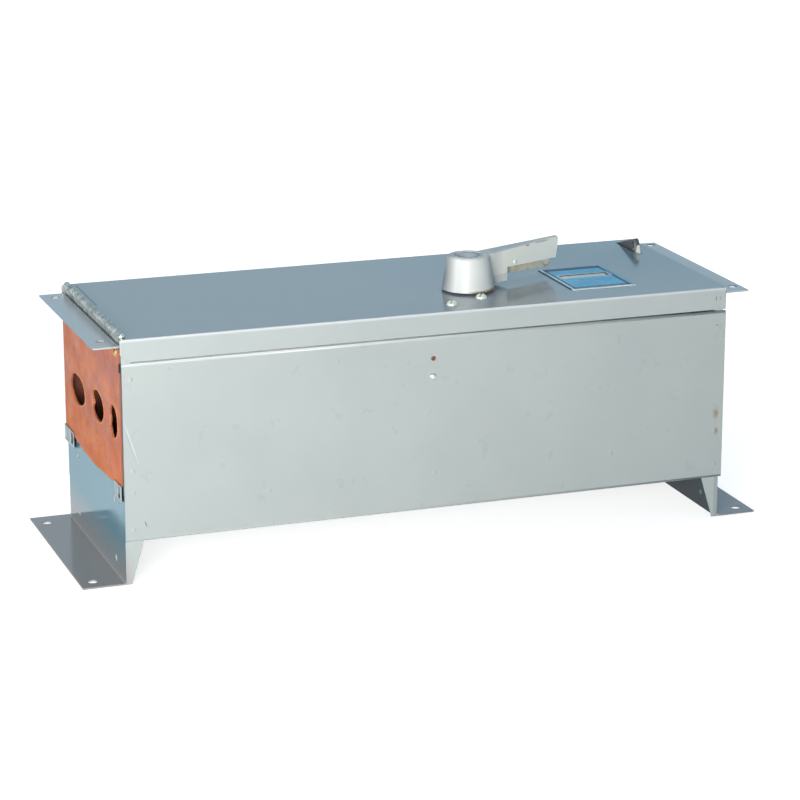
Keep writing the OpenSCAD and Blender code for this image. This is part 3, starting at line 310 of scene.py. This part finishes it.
def moulding(name, tone_a, tone_b, rough):
    """Moulded phenolic: mottled dark brown or black with a dull skin."""
    s = Shader(name)
    s.colour(s.mix(s.ramp(s.noise(180, 5, 0.7), 0.35, 0.65), tone_a, tone_b))
    s.roughness(s.ramp(s.noise(90, 3), 0.3, 0.7, rough - 0.08, rough + 0.1))
    s.bump(s.noise(500, 3), 0.00004)
    return s.material


def printed_plate(name):
    """The blank rating plate: blue field, navy bands, pale edge lines and a pale-framed window with painted shadow
    inside its top and right edges.
    """
    s = Shader(name, **{"Specular IOR Level": 0.05})
    field = s.mix(s.ramp(s.noise(40, 5, 0.6), 0.35, 0.65), srgb(132, 214, 250), srgb(104, 192, 238))
    tone = s.over(field, s.ramp(s.noise(220, 4, 0.7), 0.60, 0.68), srgb(206, 226, 236), 0.5)
    plate_z = 237.3
    navy = srgb(16, 52, 88)
    pale = srgb(236, 240, 242)
    for centre, half, colour, strength in (
            ((190.7, 5.5), (31, 5), navy, 0.85),
            ((190.7, -71), (31, 3.5), navy, 0.6),
            ((219.6, -32), (2, 42), navy, 0.8),
            ((157.3, -32), (0.5, 44.5), navy, 0.95),
            ((159.2, -32), (1.4, 44.5), pale, 0.9),
            ((162, -32), (0.9, 42), navy, 0.95),
            ((190.7, -75.6), (34, 1.5), pale, 1.0),
            ((190.7, 11.4), (34, 0.6), pale, 0.6),
            ((192, -24.5), (27.5, 8), pale, 0.95),
            # painted shadow along the window's inner top and right edges
            ((192, -24.5), (25.6, 6.2), srgb(24, 30, 36), 0.95),
            ((190.4, -26.4), (23.4, 4.2), srgb(240, 244, 246), 0.95)):
        tone = s.over(tone, s.rect(centre + (plate_z,), half + (3,), soft=0.02), colour, strength)
    tone = s.over(tone, s.ramp(s.noise(90, 5, 0.75), 0.66, 0.72), srgb(206, 214, 216), 0.45)
    s.colour(tone)
    s.roughness(s.ramp(s.noise(60, 4), 0.3, 0.7, 0.2, 0.36))
    s.bump(s.noise(400, 3), 0.00003)
    return s.material


RUST = srgb(150, 116, 62)
CHIP = srgb(232, 233, 226)
DARK = srgb(40, 44, 46)
PAINT = (srgb(181, 187, 184), srgb(175, 181, 179))
# painted reflection and shade: bluish tones for faces that look up and for faces that look to the two ends
PAINTED_TOP_LIGHT = srgb(184, 193, 198)
PAINTED_END_LIGHT = srgb(108, 150, 168)
WHITE = srgb(250, 251, 250)
# the shell's up and end tones are painted reflection and shade
SHELL_PAINT = enamel("grey_enamel_shell", *PAINT, 0.30, up=PAINTED_TOP_LIGHT, end=PAINTED_END_LIGHT, marks=(
    # painted light in the shaded gap under the lid, and a painted highlight on the panel's top bend below it
    ("rect", (0, -111.5, 213.2), (310, 4, 1.5), STRAIGHT, WHITE, 0.5),
    ("soft", (0, -112.8, 212.2), (ENDLESS, 1.5, 2.2), STRAIGHT, WHITE, 0.8),
    # worn streak down the left edge with a painted shade line beside it, rust at the right edge, nicks
    ("blob", (-296, PANEL_Y, 137.5), (0.8, 3, 26), (0, -17, 0), CHIP, 0.45),
    ("blob", (-297.3, PANEL_Y, 136), (0.7, 3, 25), (0, -17, 0), srgb(158, 166, 164), 0.45),
    ("blob", (298, PANEL_Y, 108), (4, 3, 7), STRAIGHT, RUST, 0.55),
    ("blob", (299, PANEL_Y, 90), (3, 3, 5), STRAIGHT, RUST, 0.5),
    ("blob", (-284, PANEL_Y, 58), (0.7, 3, 3.6), (0, -18, 0), DARK, 0.7),
    ("blob", (296.5, PANEL_Y, 198.7), (1.4, 3, 1.2), STRAIGHT, srgb(104, 110, 108), 0.7),
    ("blob", (0, PANEL_Y, 191.4), (3.4, 3, 3.4), STRAIGHT, srgb(150, 120, 100), 0.6),
    # spot welds
), dents=tuple(((x, PANEL_Y, z), (2.6, 3, 2.6), 0.0006) for x, z in (
    (-295, 198), (-295, 110), (-295, 89), (-295.5, 53), (298, 108), (298, 90), (298, 56),
    (-164, 78), (1.5, 78), (186, 78), (-161, 46))))
# the lid's darker bluish top tone and its end tone are painted reflection and shade
LID_PAINT = enamel("grey_enamel_lid", srgb(175, 182, 179), srgb(169, 176, 174), 0.13, specular=0.5, ior=1.9,
                   up=srgb(160, 167, 172), end=PAINTED_END_LIGHT, marks=(
    # painted bluish reflection at the load end, painted shade in the gap beside the hinge, painted highlight along
    # the folded edge
    ("soft", (270, 40, LID_TOP), (300, 220, 3), STRAIGHT, srgb(120, 141, 157), 1.0),
    ("rect", (-292.8, 62, LID_TOP), (1.0, 44, 1), (0, 0, -0.5), DARK, 0.95),
    ("soft", (0, -114.6, 236), (ENDLESS, 2.4, 2.8), STRAIGHT, srgb(240, 240, 243), 0.6),
    # thin dark lines on the lid under the lever, nicks in the skirt
    ("blob", (98, -54, LID_TOP), (12, 0.5, 1), (0, 0, 8), DARK, 0.8),
    ("blob", (95, -57, LID_TOP), (10, 0.4, 1), (0, 0, -8), DARK, 0.7),
    ("blob", (98, -40, LID_TOP), (8, 0.4, 1), (0, 0, 25), DARK, 0.5),
    ("blob", (294, SKIRT_Y, 226), (0.7, 2, 3.6), STRAIGHT, srgb(104, 112, 112), 0.9),
    ("blob", (298.8, SKIRT_Y, 226), (0.6, 2, 3.4), STRAIGHT, srgb(112, 120, 120), 0.7),
    ("blob", (283, SKIRT_Y, 230.5), (1.6, 2, 0.6), STRAIGHT, srgb(110, 118, 118), 0.6)))
# the end plates' pale up tone and blue end tone are painted reflection and light
END_PAINT = enamel("grey_enamel_ends", *PAINT, 0.15, ior=1.7, up=srgb(202, 209, 213), end=srgb(114, 152, 165),
                   mirror=0.5, marks=(
    # painted reflection of the floor low on the line end, painted shade on the two feet and under the load end
    ("soft", (-305, 0, 0), (12, 900, 42), STRAIGHT, srgb(170, 162, 158), 0.85),
    ("rect", (-330, 0, 0), (25, 120, 5), STRAIGHT, srgb(150, 143, 139), 0.95),
    ("rect", (330, 0, 0), (25, 120, 5), STRAIGHT, srgb(132, 133, 138), 0.95),
    ("rect", (301.4, 0, 20), (2.2, 112, 24), STRAIGHT, srgb(60, 64, 68), 0.95),
    # painted shade in the slots of the strap clips and in the gap under the line flange
    ("rect", (-304, CLIP_SLOTS[0], SLOT_Z), SLOT_HALF, STRAIGHT, DARK, 0.95),
    ("rect", (-304, CLIP_SLOTS[1], SLOT_Z), SLOT_HALF, STRAIGHT, DARK, 0.95),
    ("rect", (-302.8, 0, 228.6), (1.9, 106, 1.8), STRAIGHT, srgb(12, 14, 14), 1.0)))
FIBRE = fibre("vulcanised_fibre", srgb(214, 130, 90), srgb(184, 104, 74), srgb(206, 104, 36), srgb(160, 100, 92))
# dark brown liner fibre, darkened further as painted shade for the inside of the closed box
LINER = fibre("fibre_liner", srgb(92, 53, 35), srgb(68, 39, 27), srgb(92, 52, 31), srgb(70, 45, 37))
FRAY = fibre("fibre_fray", srgb(236, 158, 108), srgb(214, 122, 70), srgb(236, 146, 86), srgb(220, 150, 120))
ZINC = bare_metal("galvanised_zinc", srgb(176, 184, 186), srgb(138, 146, 148), 0.38, tarnish=srgb(116, 116, 106))
HINGE = bare_metal("hinge_zinc", srgb(206, 210, 206), srgb(134, 140, 136), 0.42, tarnish=srgb(112, 112, 98),
                   metallic=0.35, spots=0.85, pit=0.0003)
PLATED = bare_metal("bright_zinc_plate", srgb(214, 214, 208), srgb(184, 184, 176), 0.26)
SCREW = bare_metal("yellowed_zinc_plate", srgb(246, 246, 232), srgb(226, 224, 204), 0.3, tarnish=srgb(196, 186, 148),
                   metallic=0.6)
STEEL = bare_metal("oiled_steel", srgb(112, 110, 108), srgb(72, 72, 72), 0.34, tarnish=srgb(76, 66, 58))
BRASS = bare_metal("aged_brass", srgb(246, 216, 144), srgb(208, 168, 98), 0.3, tarnish=srgb(140, 108, 62),
                   metallic=0.7)
COPPER = bare_metal("bus_copper", srgb(206, 134, 92), srgb(176, 104, 70), 0.28, (1, 6, 1), srgb(120, 74, 52))
ALUMINIUM = bare_metal("lug_aluminium", srgb(206, 208, 210), srgb(182, 184, 187), 0.36, (8, 1, 1))
TONGUE = bare_metal("tongue_zinc", srgb(222, 212, 192), srgb(194, 183, 160), 0.42, tarnish=srgb(140, 122, 92),
                    metallic=0.4)
PHENOLIC = moulding("brown_phenolic", srgb(74, 44, 34), srgb(56, 32, 26), 0.45)
BLACK = moulding("black_moulding", srgb(42, 42, 43), srgb(30, 30, 31), 0.5)
FUSE = moulding("fuse_tube", srgb(196, 178, 140), srgb(178, 158, 120), 0.6)
GREEN = enamel("ground_green", srgb(52, 116, 70), srgb(44, 102, 60), 0.35)
SILVER = enamel("silver_enamel", srgb(226, 227, 223), srgb(219, 220, 216), 0.40, specular=0.5, marks=(
    # painted light on the lever's wall, painted shade and painted light on the knob's round side, rust at its foot
    ("rect", (126.6, -22.6, 262), (58, 1.3, 14), (0, 0, WALL_TURN), srgb(250, 248, 236), 0.85),
    ("soft", (39, -29.2, 254), (16, 40, 60), (0, 0, RIM_TURN), srgb(96, 100, 102), 1.0),
    ("soft", (88, -47.5, 254), (9, 40, 60), (0, 0, RIM_TURN), srgb(176, 178, 180), 0.5),
    ("blob", (66, -63.6, 239), (15, 3, 1.5), STRAIGHT, RUST, 0.9),
    # painted light and shade of a shallow recess in the knob's top: lit rim, shaded ring, lit front edge, pale
    # centre; painted bluish reflection on the lever's top
    ("soft", KNOB + (KNOB_TOP,), (19, 19, 3), STRAIGHT, WHITE, 1.0),
    ("blob", KNOB + (KNOB_TOP,), (15.5, 15.5, 2), STRAIGHT, srgb(84, 96, 116), 1.0),
    ("blob", (63, -45.5, 271.8), (9.5, 2.4, 1.2), STRAIGHT, WHITE, 0.9),
    ("blob", KNOB + (KNOB_TOP + 0.8,), (12, 12, 1.6), STRAIGHT, srgb(226, 229, 234), 1.0),
    ("soft", (104, -23, 273), (40, 15, 2.5), (0, 0, LEVER_TURN), srgb(168, 182, 198), 0.8),
    # chips, rust and drops of paint
    ("blob", (76, -42.5, 271), (3, 2, 1.5), STRAIGHT, DARK, 0.6),
    ("blob", (80, -57, 239), (16, 10, 2.2), (0, 0, 38), RUST, 0.9),
    ("blob", (91, -42, 239.5), (5, 10, 2.4), STRAIGHT, RUST, 0.7),
    ("blob", (88, -47, 246), (1.6, 4, 7), STRAIGHT, srgb(176, 150, 96), 0.5),
    ("blob", (149.6, -12.2, 272.6), (16, 1.2, 1.5), (0, 0, WALL_TURN), DARK, 0.8),
    ("blob", (133, -19.4, 271.6), (4, 1.4, 1.6), (0, 0, WALL_TURN), srgb(96, 96, 92), 0.7),
    ("blob", (160, -8.6, 272), (2, 1.6, 2.4), (0, 0, WALL_TURN), DARK, 0.7),
    ("blob", (116, -27.5, 261), (2.6, 1.5, 3), (0, 0, 24), WHITE, 0.9),
    ("blob", (110, -30, 255.5), (1.6, 1.5, 2.4), (0, 0, 24), WHITE, 0.8)))
HASP = enamel("hasp_steel", srgb(92, 93, 94), srgb(62, 64, 66), 0.4, marks=(
    # painted light patch round the hole, painted highlight along the front edge, painted shade dot at the hole's
    # foot
    ("soft", (285, 58.5, 241), (4, 5.5, 8), STRAIGHT, srgb(226, 224, 212), 0.9),
    ("rect", (285, 49, 243), (2, 3.4, 10), (24, 0, 0), srgb(238, 236, 226), 0.95),
    ("blob", (285, 58.5, 238), (4, 2.2, 1.8), STRAIGHT, srgb(12, 12, 12), 1.0)))
BLUE = printed_plate("blue_plate")

FINISH = {
    "body_shell": SHELL_PAINT, "lid": LID_PAINT, "line_end_plate": END_PAINT, "load_end_plate": END_PAINT,
    "fibre_barrier": FIBRE, "side_liners": LINER, "phase_barriers": LINER, "barrier_screws": BRASS,
    "barrier_clips": ZINC, "side_screws": PLATED, "padlock_hasp": HASP, "hinge_body_leaf": HINGE,
    "hinge_pin": PLATED, "hinge_lid_leaf": HINGE, "mounting_pan": ZINC, "bearing_plate": ZINC,
    "switch_base": PHENOLIC, "fuse_base": PHENOLIC, "crossbar": PHENOLIC, "base_screws": PLATED,
    "line_lugs": ALUMINIUM, "load_lugs": ALUMINIUM, "ground_bar": ALUMINIUM, "line_lug_screws": PLATED,
    "load_lug_screws": PLATED, "line_jaws": COPPER, "hinge_jaws": COPPER, "moving_blades": COPPER,
    "line_fuse_clips": COPPER, "load_fuse_clips": COPPER, "blade_pivots": PLATED, "arc_chambers": BLACK,
    "arc_plates": PLATED, "mechanism_frame": ZINC, "drive_yoke": ZINC, "crank_pin": PLATED,
    "drive_cup": STEEL, "shaft_clip": STEEL, "handle_shaft": PLATED, "fuse_1": FUSE, "fuse_2": FUSE,
    "fuse_3": FUSE, "yoke_screws": PLATED, "ground_screws": GREEN, "rating_plate": BLUE, "lid_screws": SCREW,
    "handle_knob": SILVER, "knob_cap": SILVER, "lock_tongue": TONGUE,
}
BODY_OF = {node: body for body, nodes in frame["record"]["behaviour"]["bodies"].items() for node in nodes}

for name, cad_node in frame["nodes"].items():
    cad_node.data.materials.clear()
    cad_node.data.materials.append(FINISH[name])


# ---------------------------------------------------------------- mesh helpers
def stand_in(piece, node):
    """The piece replaces a CAD node: it joins the node's body, takes the node's finish, and the node is hidden."""
    piece.data.materials.clear()
    piece.data.materials.append(FINISH[node])
    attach(piece, BODY_OF[node])
    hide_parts(node)
    return piece


def extra(piece, body, material):
    """A piece that adds detail to a body and replaces nothing."""
    piece.data.materials.clear()
    piece.data.materials.append(material)
    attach(piece, body)
    return piece


def linked(name, data):
    """A new object of the data, in the scene."""
    made = bpy.data.objects.new(name, data)
    bpy.context.scene.collection.objects.link(made)
    return made


def baked(piece):
    """The object's shape with its modifiers applied, as a new mesh."""
    return bpy.data.meshes.new_from_object(piece.evaluated_get(bpy.context.evaluated_depsgraph_get()))


def new_object(name, bm, smooth_angle=35):
    mesh = bpy.data.meshes.new(name)
    bmesh.ops.recalc_face_normals(bm, faces=bm.faces)
    bm.to_mesh(mesh)
    bm.free()
    piece = linked(name, mesh)
    smooth(piece, smooth_angle)
    return piece


def turns(count):
    """Angles that go once round in equal steps."""
    return [2 * math.pi * k / count for k in range(count)]


def bridge(bm, loops):
    """Joins each closed loop of vertices to the next by a band of faces."""
    for first, second in zip(loops, loops[1:]):
        for k in range(len(first)):
            n = (k + 1) % len(first)
            bm.faces.new((first[k], first[n], second[n], second[k]))


def smooth(piece, angle=35):
    for polygon in piece.data.polygons:
        polygon.use_smooth = True
    piece.data.set_sharp_from_angle(angle=math.radians(angle))


def flatten_normals(piece):
    """Bakes the modifiers, dissolves level edges and slivers, and gives flat sheet one normal all over."""
    level_angle, sliver, along_axis, near_axis = 0.003, 0.03 * MM, 0.9999, 0.8
    mesh = baked(piece)
    piece.modifiers.clear()
    piece.data = mesh
    bm = bmesh.new()
    bm.from_mesh(mesh)
    level = [e for e in bm.edges if len(e.link_faces) == 2 and e.calc_face_angle(0) < level_angle]
    bmesh.ops.dissolve_edges(bm, edges=level, use_verts=False)
    bmesh.ops.dissolve_degenerate(bm, dist=sliver, edges=bm.edges)
    bm.to_mesh(mesh)
    bm.free()
    flats = {}
    for polygon in mesh.polygons:
        if max(abs(part) for part in polygon.normal) > along_axis:
            axis = Vector([round(part) for part in polygon.normal])
            for vertex in polygon.vertices:
                flats.setdefault(vertex, []).append(axis)
    normals = [Vector(corner.vector) for corner in mesh.corner_normals]
    for polygon in mesh.polygons:
        for corner in polygon.loop_indices:
            for axis in flats.get(mesh.loops[corner].vertex_index, ()):
                if axis.dot(polygon.normal) > near_axis:
                    normals[corner] = axis
    mesh.normals_split_custom_set(normals)


def softened(node, radius):
    """The CAD node's own shape with its sharp edges rolled over, as folded sheet and castings have them."""
    bm = bmesh.new()
    bm.from_mesh(frame["nodes"][node].data)
    if node == "body_shell":
        for v in bm.verts:
            v.co.x = max(v.co.x, SHELL_LEFT * MM)
    bmesh.ops.remove_doubles(bm, verts=bm.verts, dist=0.001 * MM)
    bmesh.ops.dissolve_limit(bm, angle_limit=math.radians(0.5), verts=bm.verts, edges=bm.edges)
    piece = new_object(node + "_formed", bm)
    bevel = piece.modifiers.new("edges", "BEVEL")
    bevel.width = radius
    bevel.segments = 2
    bevel.limit_method = "ANGLE"
    bevel.angle_limit = math.radians(40)
    flat = piece.modifiers.new("flat_faces", "WEIGHTED_NORMAL")
    flat.keep_sharp = True
    if node in WIDE_SHEETS:
        flatten_normals(piece)
    return stand_in(piece, node)


SOFT_EDGES = {
    "body_shell": 0.35, "lid": 1.6, "line_end_plate": 0.4, "load_end_plate": 0.4, "barrier_clips": 0.3,
    "padlock_hasp": 0.4, "rating_plate": 0.2, "switch_base": 0.8, "fuse_base": 0.8, "crossbar": 0.8,
    "line_lugs": 0.6, "load_lugs": 0.6, "mechanism_frame": 0.5, "ground_bar": 0.5, "knob_cap": 0.5,
    "handle_knob": 1.0, "hinge_body_leaf": 0.3, "hinge_lid_leaf": 0.3,
    "lock_tongue": 0.3, "drive_cup": 0.5, "moving_blades": 0.4, "side_screws": 0.2,
    "barrier_screws": 0.2, "mounting_pan": 0.3, "bearing_plate": 0.4, "arc_chambers": 0.3,
}
for name, radius in SOFT_EDGES.items():
    softened(name, radius * MM)


# ---------------------------------------------------------------- fibre barrier
def fibre_outline():
    """The barrier's edge, cut by hand: straight at the top and sides, a long wave with ripples below."""
    half, top, low = 110.25, 226.8, 87.8
    points = [(half, top)] + [(y, top - random.uniform(0, 0.25)) for y in range(104, -108, -6)] + [(-half, top)]
    points += [(-half + random.uniform(0, 0.35), z) for z in range(222, 98, -4)]
    y = -half + 8
    points.append((-half, low + 8.5))
    while y < half:
        wave = 3.5 * (1 - math.cos(math.radians(y * 1.3 - 4))) + 0.5 * math.sin(math.radians(y * 7))
        points.append((y, low + wave + random.uniform(-0.05, 0.5)))
        y += 1.7
    points += [(half - random.uniform(0, 0.5), z) for z in range(94, 222, 3)]
    return points


def cut_ring(y, z, half_y, half_z, grow=0.0, rough=0.55, count=64):
    """A hand-cut oval with saw nicks."""
    ring = []
    for a in turns(count):
        nick = grow + random.uniform(-rough, rough * 0.3) + 0.35 * math.sin(5 * a + y)
        ring.append((y + (half_y + nick) * math.cos(a), z + (half_z + nick) * math.sin(a)))
    return ring


def sheet_from_rings(name, rings, centre_x, thickness, edge):
    """A flat sheet in the YZ plane from its outline and holes."""
    data = bpy.data.curves.new(name, "CURVE")
    data.dimensions = "2D"
    data.fill_mode = "BOTH"
    data.extrude = (thickness / 2 - edge) * MM
    data.bevel_depth = edge * MM
    data.offset = -edge * MM
    for ring in rings:
        spline = data.splines.new("POLY")
        spline.points.add(len(ring) - 1)
        for point, (y, z) in zip(spline.points, ring):
            point.co = (y * MM, z * MM, 0, 1)
        spline.use_cyclic_u = True
    drawn = linked(name + "_curve", data)
    mesh = baked(drawn)
    bpy.data.objects.remove(drawn)
    mesh.transform(Matrix(((0, 0, 1, centre_x * MM), (1, 0, 0, 0), (0, 1, 0, 0), (0, 0, 0, 1))))
    piece = linked(name, mesh)
    smooth(piece, 30)
    return piece


def frayed_rim(index, hole, torn):
    """The raw fibres that stand up round a cut hole: a thin lumpy lip, wider where the sheet tore."""
    bm = bmesh.new()
    count = 96
    inner = cut_ring(*hole, grow=0.15, rough=0.35, count=count)
    outer = cut_ring(*hole, grow=1.5, rough=1.0, count=count)
    face_x = FIBRE_X - FIBRE_T / 2
    start, width = 0.4, 0.42
    for k, a in enumerate(turns(count)):
        tear = torn * math.exp(-(((a + start) % (2 * math.pi) - start) / width) ** 2)
        inner[k] = (inner[k][0] - tear * random.uniform(0.85, 1.1), inner[k][1])
    loops = []
    for ring, lift in ((inner, -1.0), (inner, 0.25), (outer, -0.1)):
        loops.append([bm.verts.new(((face_x - lift - (random.uniform(0, 0.35) if lift > 0 else 0)) * MM,
                                    y * MM, z * MM)) for y, z in ring])
    bridge(bm, loops)
    return extra(new_object("fibre_fray_%d" % index, bm, 60), "housing", FRAY)


stand_in(sheet_from_rings("fibre_sheet", [fibre_outline()] + [cut_ring(*hole) for hole in HOLES],
                          FIBRE_X, FIBRE_T, 0.2), "fibre_barrier")
for number, (hole, torn) in enumerate(zip(HOLES, TORN)):
    frayed_rim(number + 1, hole, torn)


# ---------------------------------------------------------------- hinge details
def lumps(name, places, body, material):
    """Small irregular drops of weld metal."""
    bm = bmesh.new()
    for (x, y, z), (rx, ry, rz) in places:
        made = bmesh.ops.create_icosphere(bm, subdivisions=2, radius=1.0)
        for v in made["verts"]:
            lump = 1 + random.uniform(-0.14, 0.14)
            v.co = Vector((x + v.co.x * rx * lump, y + v.co.y * ry * lump, z + v.co.z * rz * lump)) * MM
    return extra(new_object(name, bm, 80), body, material)


def pin_heads():
    """The hinge pin's peened ends."""
    bm = bmesh.new()
    x, z, pin_end = -301.0, 237.4, 105.6
    profile = ((1.5, 0), (2.8, 0.2), (3.2, 1.0), (2.8, 2.1), (1.7, 2.9), (0.05, 3.2))
    for side in (-1, 1):
        rings = []
        for radius, out in profile:
            y = side * (pin_end + out)
            rings.append([bm.verts.new(((x + radius * math.cos(a)) * MM, y * MM, (z + radius * math.sin(a)) * MM))
                          for a in turns(20)])
        bridge(bm, rings)
        bm.faces.new(rings[-1])
    return extra(new_object("hinge_pin_heads", bm, 50), "housing", PLATED)


def slotted_heads(spots, radius, height, turn):
    """Round-headed slotted screws: a high dome with a sawn slot."""
    bm = bmesh.new()
    ball = (radius * radius + height * height) / (2 * height)
    reach = math.asin(radius / ball)
    leans = [reach * (1 - step / 10) for step in range(10)]
    profile = [(radius, 0)] + [(ball * math.sin(lean), height - ball + ball * math.cos(lean)) for lean in leans]
    for x, y in spots:
        rings = [[bm.verts.new(((x + r * math.cos(a)) * MM, (y + r * math.sin(a)) * MM, (LID_TOP + rise) * MM))
                  for a in turns(40)] for r, rise in profile]
        bridge(bm, rings)
        bm.faces.new(rings[-1])
        bm.faces.new(list(reversed(rings[0])))
    heads = new_object("slotted_heads", bm, 40)
    cut = bmesh.new()
    for x, y in spots:
        place = (Matrix.Translation(Vector((x, y, LID_TOP + height)) * MM)
                 @ Matrix.Rotation(math.radians(turn), 4, "Z")
                 @ Matrix.Diagonal((3 * radius * MM, 2.1 * MM, 5.4 * MM, 1)))
        bmesh.ops.create_cube(cut, size=1, matrix=place)
    saw = new_object("slot_saw", cut)
    slot = heads.modifiers.new("slot", "BOOLEAN")
    slot.operation, slot.object, slot.solver = "DIFFERENCE", saw, "EXACT"
    mesh = baked(heads)
    heads.modifiers.clear()
    heads.data = mesh
    bpy.data.objects.remove(saw)
    smooth(heads, 40)
    return stand_in(heads, "lid_screws")


slotted_heads(LID_SCREWS, 5.5, 4.5, 55)
lumps("lever_nub", [((116.2, -27.4, 257.5), (2.0, 1.4, 1.6))], "handle", SILVER)
lumps("hinge_tacks", [((-297.0, y, 236.9), (1.3, 2.0, 0.7)) for y in (62, 38, 15, -4, -19, -36, -51, -72)],
      "lid", PLATED)
pin_heads()


def corner_tabs():
    """The lid's two corners folded in beside the hinge."""
    bm = bmesh.new()
    for side in (-1, 1):
        place = (Matrix.Translation(Vector((-298.6, side * 111.2, 235.8)) * MM)
                 @ Matrix.Diagonal((9 * MM, 5 * MM, 1.2 * MM, 1)))
        bmesh.ops.create_cube(bm, size=1, matrix=place)
    bmesh.ops.bevel(bm, geom=bm.edges[:], offset=0.3 * MM, segments=2, affect="EDGES")
    return extra(new_object("lid_corner_tabs", bm), "lid", LID_PAINT)


corner_tabs()


# ---------------------------------------------------------------- stage
def seen_directly(tree):
    """1 for camera, glossy and transmission rays, 0 for the rays that light things."""
    paths = tree.nodes.new("ShaderNodeLightPath")
    total = paths.outputs["Is Camera Ray"]
    for name in ("Is Glossy Ray", "Is Transmission Ray"):
        adder = tree.nodes.new("ShaderNodeMath")
        adder.operation = "MAXIMUM"
        tree.links.new(total, adder.inputs[0])
        tree.links.new(paths.outputs[name], adder.inputs[1])
        total = adder.outputs[0]
    return total


def floor():
    """Plain white floor that keeps the shadow: it glows for the camera and in reflections only."""
    bpy.ops.mesh.primitive_plane_add(size=30, location=(0, 0, cad_low.z - 0.0005))
    plane = bpy.context.object
    plane.name = "floor"
    s = Shader("floor_white", Roughness=0.9, **{"Base Color": (0.8, 0.8, 0.8, 1), "Specular IOR Level": 0.0})
    s.bsdf.inputs["Emission Color"].default_value = (1, 1, 1, 1)
    away = s.node("ShaderNodeVectorMath", operation="LENGTH")
    s.link(s.coords, away.inputs[0])
    glow = s.ramp(away.outputs["Value"], 0.6, 2.2, FLOOR_GLOW, 1.0)
    strength = s.math("MULTIPLY", seen_directly(s.tree), glow)
    s.link(strength, s.bsdf.inputs["Emission Strength"])
    plane.data.materials.append(s.material)


def world():
    """White at the horizon and pale blue above it where it is seen, a dim cool sky to everything it lights."""
    scene_world = bpy.data.worlds.new("studio")
    bpy.context.scene.world = scene_world
    scene_world.use_nodes = True
    tree = scene_world.node_tree
    background = tree.nodes["Background"]
    mix = tree.nodes.new("ShaderNodeMix")
    mix.data_type = "RGBA"
    tree.links.new(seen_directly(tree), mix.inputs[0])
    mix.inputs[6].default_value = SKY
    height = tree.nodes.new("ShaderNodeSeparateXYZ")
    tree.links.new(tree.nodes.new("ShaderNodeTexCoord").outputs["Generated"], height.inputs[0])
    climb = tree.nodes.new("ShaderNodeMapRange")
    tree.links.new(height.outputs[2], climb.inputs["Value"])
    climb.inputs["From Min"].default_value, climb.inputs["From Max"].default_value = 0.0, 0.16
    pale = tree.nodes.new("ShaderNodeMix")
    pale.data_type = "RGBA"
    tree.links.new(climb.outputs["Result"], pale.inputs[0])
    pale.inputs[6].default_value = (1, 1, 1, 1)
    pale.inputs[7].default_value = PALE_SKY
    tree.links.new(pale.outputs[2], mix.inputs[7])
    tree.links.new(mix.outputs[2], background.inputs["Color"])
    background.inputs["Strength"].default_value = 1.0


def area_light(name, location, aim, size, power, colour=(1, 1, 1), mirrored=True):
    """A rectangular lamp that looks at aim. Unless mirrored, glossy faces don't show it."""
    data = bpy.data.lights.new(name, "AREA")
    data.shape = "RECTANGLE"
    data.size, data.size_y = size
    data.energy = power
    data.color = colour
    lamp = linked(name, data)
    lamp.visible_glossy = mirrored
    lamp.location = location
    lamp.rotation_euler = (Vector(aim) - Vector(location)).to_track_quat("-Z", "Y").to_euler()


def camera():
    """The photograph's view: from the front left, a little above, through a long lens."""
    azimuth, elevation, roll = math.radians(20.40), math.radians(15.74), math.radians(0.2)
    forward = Vector((math.sin(azimuth) * math.cos(elevation), math.cos(azimuth) * math.cos(elevation),
                      -math.sin(elevation)))
    data = bpy.data.cameras.new("camera")
    data.sensor_width = 36
    data.lens = 130.20
    data.shift_x = -0.0416
    data.shift_y = -0.00995
    view = linked("camera", data)
    view.rotation_euler = (forward.to_track_quat("-Z", "Y").to_matrix() @ Matrix.Rotation(roll, 3, "Z")).to_euler()
    view.location = (-0.9232, -2.5940, 0.9046)
    bpy.context.scene.camera = view


floor()
world()
area_light("key", (-0.90, -1.58, 0.45), (-0.12, 0, 0.13), (0.7, 0.5), 28.0, (1.0, 0.99, 0.965))
area_light("side", (-1.9, -0.35, 0.45), (-0.3, 0, 0.12), (0.9, 0.6), 8.5)
area_light("back", (2.0, 1.5, 0.7), (0, 0, 0.12), (1.2, 0.8), 16, mirrored=False)
area_light("top", (0.1, 0.45, 2.05), (0, 0, 0.12), (1.2, 1.2), 5)
camera()
bpy.context.scene.view_settings.view_transform = "Standard"
